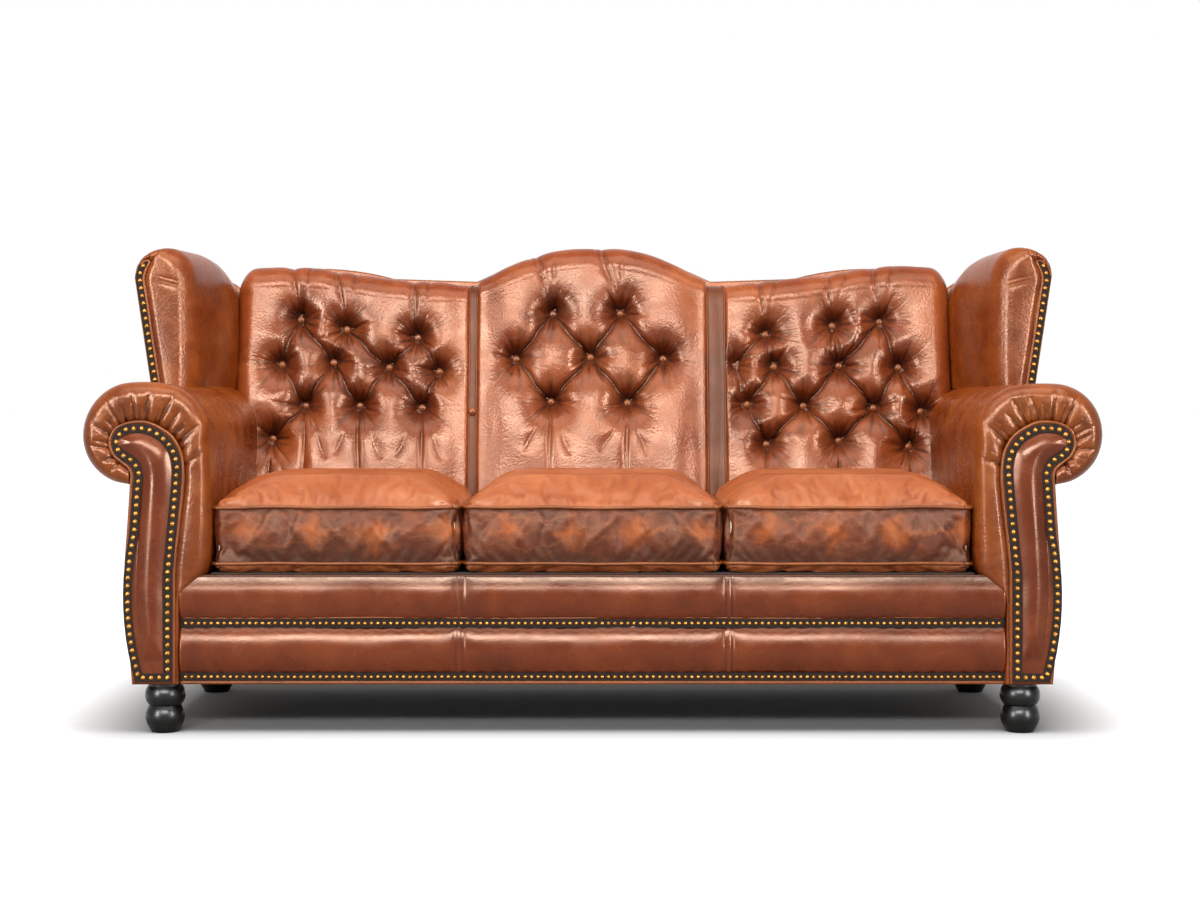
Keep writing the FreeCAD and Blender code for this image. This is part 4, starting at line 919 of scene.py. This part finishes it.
# gathers in the front of the roll: angle about the scroll, depth, and share of the front crossed
GATHERS = [
    (186, 0.0030, 0.85), (170, 0.0022, 0.45), (158, 0.0042, 0.95), (149, 0.0026, 0.5),
    (134, 0.0034, 0.65), (121, 0.0044, 0.9), (112, 0.0024, 0.5), (99, 0.0040, 0.85),
    (88, 0.0024, 0.5), (76, 0.0044, 0.95), (63, 0.0030, 0.6), (50, 0.0042, 0.9), (36, 0.0026, 0.5),
    (24, 0.0040, 0.85), (8, 0.0030, 0.6), (-8, 0.0038, 0.8), (-26, 0.0028, 0.6), (-44, 0.0036, 0.8),
]
# folds that run round the roll, as places along it
LONG_FOLDS = (-0.355, -0.305, -0.215, -0.120, -0.010)
# shares of the hide of an arm or a wing that are its front and its rounded front edge
FRONT_SHARE = 0.30
EDGE_SHARE = 0.22


def wrapped(outer, inner, front, edge, rear, along, share=0.45):
    """Hide that runs out across a front, round its edge and back.

    It gives the place, the way out, the share of the front crossed and the turn of the edge.
    """
    out = np.stack(outer) - np.stack(inner)
    reach = np.hypot(*out)
    out = out / reach
    edge = np.minimum(edge, share * reach)
    across = np.clip(along / FRONT_SHARE, 0, 1)
    turn = np.clip((along - FRONT_SHARE) / EDGE_SHARE, 0, 1) * np.pi / 2
    back = np.clip((along - FRONT_SHARE - EDGE_SHARE) / (1 - FRONT_SHARE - EDGE_SHARE), 0, 1)
    far = across * (reach - edge) + edge * np.sin(turn)
    y = front + edge * (1 - np.cos(turn)) + (rear - front - edge) * back**1.1
    tuck = 0.007 * np.clip(1 - far / 0.018, 0, 1) ** 2
    crown = 0.003 * np.sin(np.pi * np.clip(far / reach, 0, 1)) * np.cos(turn)
    return inner[0] + out[0] * far, y + tuck - crown, inner[1] + out[1] * far, out, far / reach, turn


def arm(side, label, seed):
    """The hide of an arm, from the scroll board round its front and back to the outside back."""
    last = len(ARM_LINE) - 1
    numbers, *scroll = np.array(SCROLL_LINE).T
    marks = {}

    def shape(across, along):
        outer = smooth_path(ARM_LINE, across)
        inner = smooth_path(np.array(scroll).T, across, numbers / last)
        flap = np.clip((across * last - 5.6) / 0.8, 0, 1)
        rear = back_face(outer[1]) + BACK_DEPTH - BACK_PANEL - 0.002
        rear = BASE_BACK + 0.004 + (rear - BASE_BACK - 0.004) * flap
        x, y, z, out, far, turn = wrapped(outer, inner, ARM_FRONT, ARM_EDGE, rear, along)
        chance = np.random.RandomState(seed)
        angle = np.degrees(np.arctan2(outer[1] - SCROLL_EYE[1], outer[0] - SCROLL_EYE[0]))
        angle = np.where(angle < -90, angle + 360, angle)
        sunk = np.zeros_like(x)
        for place, depth, length in GATHERS:
            place = place + chance.uniform(-3, 3)
            lean = chance.uniform(-6, 6)
            off = np.abs(angle - place - lean * far)
            fade = np.clip(1 - far / (length * chance.uniform(0.8, 1.0)), 0, 1) ** 0.7
            fold = 0.65 * np.exp(-off / 1.3) + 0.35 * np.exp(-((off / 5) ** 2))
            sunk = sunk + 2.5 * depth * chance.uniform(0.8, 1.2) * fold * fade
        puff = np.clip((angle + 60) / 20, 0, 1) * np.clip((200 - angle) / 20, 0, 1)
        sunk = sunk - 0.0022 * puff * np.sin(np.pi * np.clip(far, 0, 1))
        for place in LONG_FOLDS:
            bend = 0.018 * np.sin(5 * across + chance.uniform(0, 6))
            off = np.abs(y - place - bend)
            weight = chance.uniform(0.5, 1.0) * np.clip(1.6 * np.sin(np.pi * across), 0, 1)
            sunk = sunk + 0.0013 * weight * (np.exp(-off / 0.005) + 0.6 * np.exp(-((off / 0.022) ** 2)))
        sunk = sunk + uneven(chance, 12, 0.0006, 22, x, y, z)
        lean_in = 0.012 * np.exp(-(((z - 0.610) / 0.06) ** 2)) * np.sin(turn)
        lean_in = lean_in * np.sin(np.pi * np.clip((y + 0.44) / 0.66, 0, 1))
        inside = np.clip(-out[0] * 2, 0, 1)
        sag = 0.005 * np.sin(np.pi * np.clip((y + 0.40) / 0.62, 0, 1)) * np.clip(out[1], 0, 1)
        x = x - out[0] * sunk * np.sin(turn) - lean_in * inside
        z = z - out[1] * sunk * np.sin(turn) - sag
        y = y + sunk * np.cos(turn)
        turned = np.radians(angle)
        rays = [1.3 * np.cos(turned), 1.3 * np.sin(turned), 0.5 * far + side]
        marks["spoke"] = np.stack(rays, axis=1)
        # painted shade: thin dark spokes in the gathers on the front of the roll
        marks["gather"] = 1.6 * puff * np.clip(1.15 - far, 0, 1) * np.clip(0.45 - turn / 2, 0, 1)
        return side * x, y, z

    piece = make_grid(f"arm_{label}", 300, 130, shape)
    for name, values in marks.items():
        mark(piece, name, values)
    turn_out(piece, side)
    thicken(piece)
    return dress(piece, saddle, "frame", "leather", f"arm_cover_{label}")


# the scroll board, as pairs of places on its inner and outer edge from the floor to its tip
BOARD_PAIRS = [
    (0.879, 0.105, 0.964, 0.105), (0.879, 0.190, 0.972, 0.190), (0.879, 0.265, 0.980, 0.265),
    (0.879, 0.336, 0.981, 0.330), (0.869, 0.441, 0.975, 0.430), (0.862, 0.505, 0.971, 0.490),
    (0.860, 0.547, 0.969, 0.530), (0.868, 0.598, 0.969, 0.546), (0.884, 0.625, 0.971, 0.554),
    (0.908, 0.643, 0.974, 0.559), (0.936, 0.655, 0.979, 0.564), (0.962, 0.656, 0.986, 0.570),
    (0.985, 0.651, 0.994, 0.576), (1.003, 0.641, 1.003, 0.583), (1.011, 0.628, 1.009, 0.592),
    (1.014, 0.613, 1.014, 0.606),
]
# the narrow return beside the board: how many pairs it runs along, how far out the edge that it
# meets lies at least, its heights and its depths
RETURN_PAIRS = 7
RETURN_LEAST = 0.95
RETURN_TOP = 0.523
RETURN_RISE = 0.418
RETURN_FRONT = BOARD_BACK - 0.004
RETURN_REAR = -0.388


def evenly(points, count):
    """How far along a run of points each one lies, and as many even steps as are asked for."""
    far = np.concatenate([[0], np.cumsum(np.hypot(*np.diff(points, axis=0).T))])
    return far, np.linspace(0, far[-1], count)


def scroll_board(side, label):
    """The padded board on the front of an arm, and the piping round it."""

    def shape(across, along):
        near_x, near_z, far_x, far_z = smooth_path(BOARD_PAIRS, along)
        share = np.clip((across - BOARD_WALL) / (1 - 2 * BOARD_WALL), 0, 1)
        width = np.hypot(far_x - near_x, far_z - near_z)
        inset = np.minimum(share, 1 - share) * width
        end = np.minimum(along * 0.55, (1 - along) * 0.16)
        inset = np.minimum(inset, end)
        lift = BOARD_SWELL * np.sin(np.pi / 2 * np.clip((inset - 0.0225) / 0.031, 0, 1))
        lift = lift * np.clip(1.35 - 0.75 * along, 0, 1)
        edge = np.clip(np.minimum(across, 1 - across) / BOARD_WALL, 0, 1)
        y = BOARD_BACK + (BOARD_FACE - BOARD_BACK) * edge - lift
        x = near_x + (far_x - near_x) * share
        return side * x, y, near_z + (far_z - near_z) * share

    piece = make_grid(f"scroll_board_{label}", 70, 220, shape)
    turn_out(piece, side)
    close_shell(piece)
    dress(piece, base_hide, "frame", "leather", f"arm_facing_{label}")
    outline = [pair[:2] for pair in BOARD_PAIRS] + [pair[2:] for pair in BOARD_PAIRS[::-1]]
    steps, fine = evenly(outline, 320)
    run_x, run_z = smooth_path(outline, fine, steps)
    run = np.stack([side * run_x, np.full_like(run_x, BOARD_FACE + 0.001), run_z], axis=1)
    return dress(welt(f"scroll_piping_{label}", run, PIPING), worn_edge, "frame", "leather")


def outside_edge(lowest, highest, nearest):
    """Edge of the outside back between two heights, as distances from the middle and heights."""
    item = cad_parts["outside_back"]
    places = np.array([item.matrix_world @ corner.co for corner in item.data.vertices])
    x, y, z = places.T
    rear = np.abs(y - back_face(z) - BACK_DEPTH) < MILLIMETRE
    found = places[rear & (z > lowest) & (z < highest) & (x > nearest)]
    return np.unique(np.round(found[:, (0, 2)], 4), axis=0)


def arm_return(side, label):
    """The turn of the hide from the board's outer edge to the outside of the arm."""
    board = [(far_z, far_x) for near_x, near_z, far_x, far_z in BOARD_PAIRS[:RETURN_PAIRS]]
    edge = outside_edge(0, RETURN_TOP, RETURN_LEAST)
    outside = edge[np.argsort(edge[:, 1])][:, ::-1]

    def shape(across, along):
        z = BASE_LOW + 0.0005 + RETURN_RISE * along
        front = smooth_line(board, z) - 0.002
        x = front + (smooth_line(outside, z) + 0.0015 - front) * np.sqrt(across)
        return side * x, RETURN_FRONT + (RETURN_REAR - RETURN_FRONT) * across, z

    piece = make_grid(f"arm_return_{label}", 14, 90, shape)
    turn_out(piece, side)
    thicken(piece)
    return dress(piece, base_hide, "frame", "leather")


for label, side in SIDES:
    arm(side, label, 7 + side)
    scroll_board(side, label)
    arm_return(side, label)

# Wings: hide over wadding on a board that stands on the arm. It rolls over the front edge into a
# nailed strip and swells at the top, with short gathers where it turns the corner.
WING_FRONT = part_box("wing_outer_right")[0][1]
WING_DROP = 0.044
WING_REACH = 0.250
WING_FLARE = 0.060
WING_EDGE = 0.045
WING_CORD = 0.0034
WING_LINE = [
    (0.927, 0.728), (0.925, 0.760), (0.924, 0.800), (0.924, 0.850), (0.925, 0.900), (0.926, 0.945),
    (0.928, 0.980), (0.934, 1.010), (0.947, 1.035), (0.968, 1.051), (0.990, 1.055), (1.012, 1.049),
    (1.032, 1.036), (1.046, 1.020), (1.053, 1.004), (1.056, 0.986),
]
# where the hide ends at the strip, for each place on the line above
WING_SEAM = [
    (0.9965, 0.728), (1.001, 0.760), (1.007, 0.800), (1.015, 0.850), (1.022, 0.900), (1.029, 0.945),
    (1.034, 0.978), (1.030, 0.998), (1.024, 1.010), (1.021, 1.018), (1.022, 1.021), (1.026, 1.022),
    (1.031, 1.021), (1.038, 1.016), (1.046, 1.003), (1.051, 0.986),
]
# short folds where the hide turns the corner, as place on the line and depth
WING_GATHERS = ((9.2, 0.0030), (10.6, 0.0036), (11.9, 0.0030), (13.1, 0.0024))


def wing(side, label, seed):
    """The hide of a wing and the piping beside its nailed strip."""
    last = len(WING_LINE) - 1

    def shape(across, along):
        outer = smooth_path(WING_LINE, across)
        inner = smooth_path(WING_SEAM, across)
        rear = back_face(outer[1]) + BACK_DEPTH - BACK_PANEL - 0.002
        x, y, z, out, far, turn = wrapped(
            outer, inner, WING_FRONT - 0.006, WING_EDGE, rear, along, share=0.7
        )
        chance = np.random.RandomState(seed)
        number = across * last
        sunk = np.zeros_like(x)
        for place, depth in WING_GATHERS:
            off = np.abs(number - place - 1.2 * far) / 0.10
            fade = np.clip(1.05 - far, 0, 1) ** 0.6
            sunk = sunk + depth * (0.7 * np.exp(-off) + 0.3 * np.exp(-((off / 4) ** 2))) * fade
        for level in (0.962, 0.972, 0.955):
            off = np.abs(z - level - 0.25 * (x - 0.94)) / 0.0035
            near = np.exp(-(((y - WING_FRONT - 0.01) / 0.03) ** 2)) * np.exp(-(((x - 0.975) / 0.03) ** 2))
            sunk = sunk + 0.0022 * np.exp(-off) * near
        sunk = sunk + uneven(chance, 12, 0.0007, 20, x, y, z)
        depth_share = np.clip((y - WING_FRONT) / WING_REACH, 0, 1)
        inward = np.clip((last - 4 - number) / 6, 0, 1) ** 0.7
        topward = np.clip((z - 0.80) / 0.22, 0, 1)
        x = x - out[0] * sunk * np.sin(turn) - WING_FLARE * depth_share * inward
        falling = 0.08 * depth_share + 0.92 * np.clip((y - 0.19) / (rear - 0.19), 0, 1) ** 1.4
        outward = np.clip((number - 9) / 4, 0, 1)
        falling = falling + (np.sin(depth_share * np.pi / 2) - falling) * outward
        z = z - out[1] * sunk * np.sin(turn) - WING_DROP * falling * topward
        y = y + sunk * np.cos(turn)
        belly = 0.008 * np.sin(np.pi * np.clip((z - ARM_TOP) / 0.30, 0, 1)) * np.sin(turn)
        x = x - belly * np.clip(-out[0] * 2, 0, 1) * np.sin(np.pi * depth_share)
        return side * x, y, z

    piece = make_grid(f"wing_{label}", 220, 130, shape)
    turn_out(piece, side)
    thicken(piece)
    dress(piece, saddle, "frame", "leather", f"wing_cover_{label}")
    fine = np.linspace(0, 13.2 / last, 200)
    cord_x, cord_z = smooth_path(WING_SEAM, fine)
    run = np.stack([side * (cord_x + 0.001), np.full_like(fine, WING_FRONT - 0.0005), cord_z], axis=1)
    return dress(welt(f"wing_piping_{label}", run, WING_CORD), worn_edge, "frame", "leather")


for label, side in SIDES:
    wing(side, label, 23 + side)

# Seat cushions: a boxed cushion in waxed hide over feather and foam, piped along both edges of
# the boxing, with a brass zip behind. The hide is blown up by its filling from a smaller shape.
CUSHION_RISE = 0.143
CUSHION_CORNER = 0.016
VOXEL = 0.0055
SWELL_LIMIT = 0.022
UPPER_SEAM = 0.139
LOWER_SEAM = 0.020
CUSHION_CROWN = 0.0475
CLOTH_FRAMES = 20
HIDE_CLOTH = {
    "quality": 5, "mass": 0.4, "tension_stiffness": 25, "compression_stiffness": 25, "shear_stiffness": 10,
    "bending_stiffness": 1.5, "shrink_min": -0.035, "use_pressure": True, "uniform_pressure_force": 4,
}
# share of the cushion's width that the zip crosses, and the height of the fold that it lies in
ZIP_SHARE = 0.84
ZIP_SLOT = 0.014
ZIP_TEETH = 0.0022


def cushion_top(across, along):
    """Share of the crown at a place on a cushion, each way from -1 to 1."""
    return (1 - np.abs(across) ** 3.8) ** 0.62 * (1 - np.abs(along) ** 4.2) ** 0.56


def ends_of(node):
    """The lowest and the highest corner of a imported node."""
    return [np.array(corner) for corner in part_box(node)]


def blow_up(pad, low, high, sewn):
    """Swell a cover by its filling, held along its seams and kept within its neighbours."""
    held = pad.vertex_groups.new(name="sewn")
    for index in np.nonzero(sewn)[0]:
        held.add([int(index)], 1.0, "REPLACE")
    cloth = pad.modifiers.new("hide", "CLOTH")
    for name, value in HIDE_CLOTH.items():
        setattr(cloth.settings, name, value)
    cloth.settings.vertex_group_mass = held.name
    cloth.settings.effector_weights.gravity = 0
    before = places_of(pad)
    for frame_number in range(1, CLOTH_FRAMES + 1):
        scene.frame_set(frame_number)
    pick(pad)
    bpy.ops.object.modifier_apply(modifier=cloth.name)
    scene.frame_set(1)
    moved = places_of(pad) - before
    length = np.linalg.norm(moved, axis=1)
    keep = np.minimum(1, SWELL_LIMIT / np.maximum(length, 1e-9))
    moved = before + moved * keep[:, None]
    set_places(pad, np.clip(moved, low - (0.0035, 0.010, 0), high + (0.0035, 0, 0.012)))


def seat_cushion(label):
    """A seat cushion with its boxing in a darker, worn hide."""
    low, high = ends_of(f"cushion_cover_{label}")
    floor_z = low[2]
    size = high - low
    middle = (low + high) / 2
    bpy.ops.object.select_all(action="DESELECT")
    bpy.ops.mesh.primitive_cube_add(size=1, location=(middle[0], middle[1], floor_z + CUSHION_RISE / 2))
    pad = bpy.context.object
    pad.name = f"cushion_{label}"
    pad.scale = (size[0] - 0.006, size[1] - 0.006, CUSHION_RISE)
    bpy.ops.object.transform_apply(location=True, rotation=True, scale=True)
    upright = pad.modifiers.new("corners", "BEVEL")
    upright.width = CUSHION_CORNER
    upright.segments = 4
    bpy.ops.object.modifier_apply(modifier=upright.name)
    pad.data.remesh_voxel_size = VOXEL
    bpy.ops.object.voxel_remesh()
    spots = places_of(pad)
    across = (spots[:, 0] - middle[0]) / (size[0] / 2)
    along = (spots[:, 1] - middle[1]) / (size[1] / 2)
    crown = cushion_top(np.clip(across, -1, 1), np.clip(along, -1, 1))
    share = np.clip((spots[:, 2] - floor_z - UPPER_SEAM + 0.006) / 0.008, 0, 1)
    spots[:, 2] += CUSHION_CROWN * crown * share
    under = np.clip((floor_z + LOWER_SEAM - spots[:, 2]) / LOWER_SEAM, 0, 1)
    outward = np.maximum(np.abs(across), np.abs(along))
    spots[:, 2] += 0.004 * under * np.clip(outward, 0, 1) ** 24
    set_places(pad, spots)
    level = spots[:, 2] - floor_z
    at_seam = np.minimum(np.abs(level - UPPER_SEAM), np.abs(level - LOWER_SEAM)) < 0.004
    blow_up(pad, low, high, at_seam & (outward > 0.972))
    settled = places_of(pad)
    # the weight flattens the lower edge, and the hide keeps the creases that sitting pressed into it
    rise = settled[:, 2] - floor_z
    settled[:, 2] = floor_z + rise * np.clip(0.55 + 0.45 * rise / LOWER_SEAM, 0, 1)
    face_x, face_y = np.abs(across) > 0.985, np.abs(along) > 0.975
    run = np.where(face_y, settled[:, 0], settled[:, 1])
    share = (settled[:, 2] - floor_z - LOWER_SEAM) / (UPPER_SEAM - LOWER_SEAM)
    held = np.clip((share - 0.10) / 0.35, 0, 1) * np.clip((0.97 - share) / 0.08, 0, 1)
    ridge = np.zeros_like(run)
    for lean, pitch, start in ((0.75, 0.092, 0.01), (-0.65, 0.081, 0.04)):
        bend = 0.012 * np.sin(15 * run + 4 * share + 9 * start)
        phase = run + lean * (settled[:, 2] - floor_z) + bend + start
        ridge += 0.0026 * (0.5 + 0.5 * np.cos(2 * np.pi * phase / pitch)) ** 7
    rear = face_y & (along > 0)
    settled[:, 1] += np.where(face_y & ~rear, np.sign(along) * ridge * held, 0)
    # the rear of the boxing is folded in along its zip
    zip_low, zip_high = ends_of(f"zip_slider_{label}")
    level = settled[:, 2] - (zip_low[2] + zip_high[2]) / 2
    folded = rear & (np.abs(across) < ZIP_SHARE) & (np.abs(level) < ZIP_SLOT / 2)
    settled[folded, 1] = np.minimum(settled[folded, 1], zip_low[1] - 0.0005)
    settled[:, 0] += np.where(face_x & ~face_y, np.sign(across) * ridge * held * 0.5, 0)
    on_top = np.clip((share - 1.03) / 0.06, 0, 1)
    ripple = np.sin(2 * np.pi * (settled[:, 1] + 0.010 * np.sin(9 * settled[:, 0])) / 0.034)
    patchy = np.clip(np.sin(6.1 * settled[:, 0] + 2.0) * np.sin(11 * settled[:, 1]) + 0.35, 0, 1)
    settled[:, 2] += 0.0010 * ripple * patchy * on_top
    set_places(pad, settled)
    fine = pad.modifiers.new("fine", "SUBSURF")
    fine.levels = 1
    fine.render_levels = 1
    bpy.ops.object.modifier_apply(modifier=fine.name)
    bpy.ops.object.shade_smooth()
    dress(pad, seat_hide, f"cushion_{label}", "leather", f"cushion_cover_{label}")
    pad.data.materials.append(boxing_hide)
    for face in pad.data.polygons:
        level = face.center[2] - floor_z
        if LOWER_SEAM < level < UPPER_SEAM and abs(face.normal[2]) < 0.8:
            face.material_index = 1
    return pad


def cushion_welts(label):
    """The piping round both edges of the boxing."""
    low, high = ends_of(f"cushion_cover_{label}")
    bend = CUSHION_CORNER
    west, south = low[:2] + bend
    east, north = high[:2] - bend
    corners = ((east, south, -90), (east, north, 0), (west, north, 90), (west, south, 180))
    turns = [arc(x, y, bend, start, start + 90, 7) for x, y, start in corners]
    ring = []
    for turn, after in zip(turns, turns[1:] + turns[:1]):
        ring += turn + [tuple(spot) for spot in np.linspace(turn[-1], after[0], 60)[1:-1]]
    for part, level, wave in (("upper", UPPER_SEAM, 0.0016), ("lower", LOWER_SEAM, 0.0010)):
        run = [
            (x, y, low[2] + level + wave * math.sin(23 * x + 5 * y) * math.cos(9 * x))
            for x, y in ring + ring[:1]
        ]
        piece = welt(f"cushion_{part}_piping_{label}", run, PIPING)
        dress(piece, worn_edge, f"cushion_{label}", "leather", f"cushion_piping_{label}")


for label in THREE:
    seat_cushion(label)
    cushion_welts(label)

# Outsides: one hide drawn over the rear of the frame and piped along its top edge, and plain
# panels of hide on the outer sides of the arms and wings. They keep their solids.
OUTSIDE_PIPING = 0.0042
OUTSIDE_LEAST = 0.93
OUTSIDE_END = 1.056
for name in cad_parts:
    if name.startswith(("arm_outer", "wing_outer")):
        finish_nodes(saddle, name)
finish_nodes(cognac, "outside_back")
right_run = outside_edge(OUTSIDE_LEAST, CAMEL_TOP + MILLIMETRE, MILLIMETRE)
# the edge turns down at its outer end, so its points are put in order on a slant
right_run = right_run[np.argsort(right_run[:, 0] - 0.1 * right_run[:, 1])]
right_run[:, 0] = np.minimum(right_run[:, 0], OUTSIDE_END)
edge_run = np.concatenate([right_run[::-1] * (-1, 1), [(0, CAMEL_TOP)], right_run])
steps, fine = evenly(edge_run, 700)
run_x, run_z = [np.interp(fine, steps, line) for line in edge_run.T]
rear_face = back_face(run_z) + BACK_DEPTH - 0.003
edge_piping = welt("outside_back_piping", np.stack([run_x, rear_face, run_z], axis=1), OUTSIDE_PIPING)
dress(edge_piping, worn_edge, "frame", "leather")

# Trim: a dark woven gimp under rows of domed brass nails, antiqued so that the brass stays
# bright only on the crown of each head; the finish draws the brass in two tones mixed by noise.
gimp = plain_finish("woven_gimp", "#2a190b", "#080402", 0.9, 2.6, bump=0.6, shine=0.15)
antique_brass = plain_finish("antiqued_brass", "#8c5f2b", "#35210e", 0.36, 5, metallic=1.0, bump=0.1)
finish_nodes(gimp, "arm_trims", "wing_trims", "base_trims")
finish_nodes(antique_brass, "arm_nails", "wing_nails", "base_nails")
for name in THREE:
    finish_nodes(antique_brass, f"zip_slider_{name}")
    cover_low, cover_high = ends_of(f"cushion_cover_{name}")
    zip_low, zip_high = ends_of(f"zip_slider_{name}")
    half = (cover_high[0] - cover_low[0]) / 2 * ZIP_SHARE
    run_x = (cover_low[0] + cover_high[0]) / 2 + np.linspace(-half, half, 80)
    chain = [(x, zip_low[1] + 0.001, (zip_low[2] + zip_high[2]) / 2) for x in run_x]
    teeth = welt(f"zip_chain_{name}", chain, ZIP_TEETH)
    dress(teeth, antique_brass, f"cushion_{name}", "zip_metal")
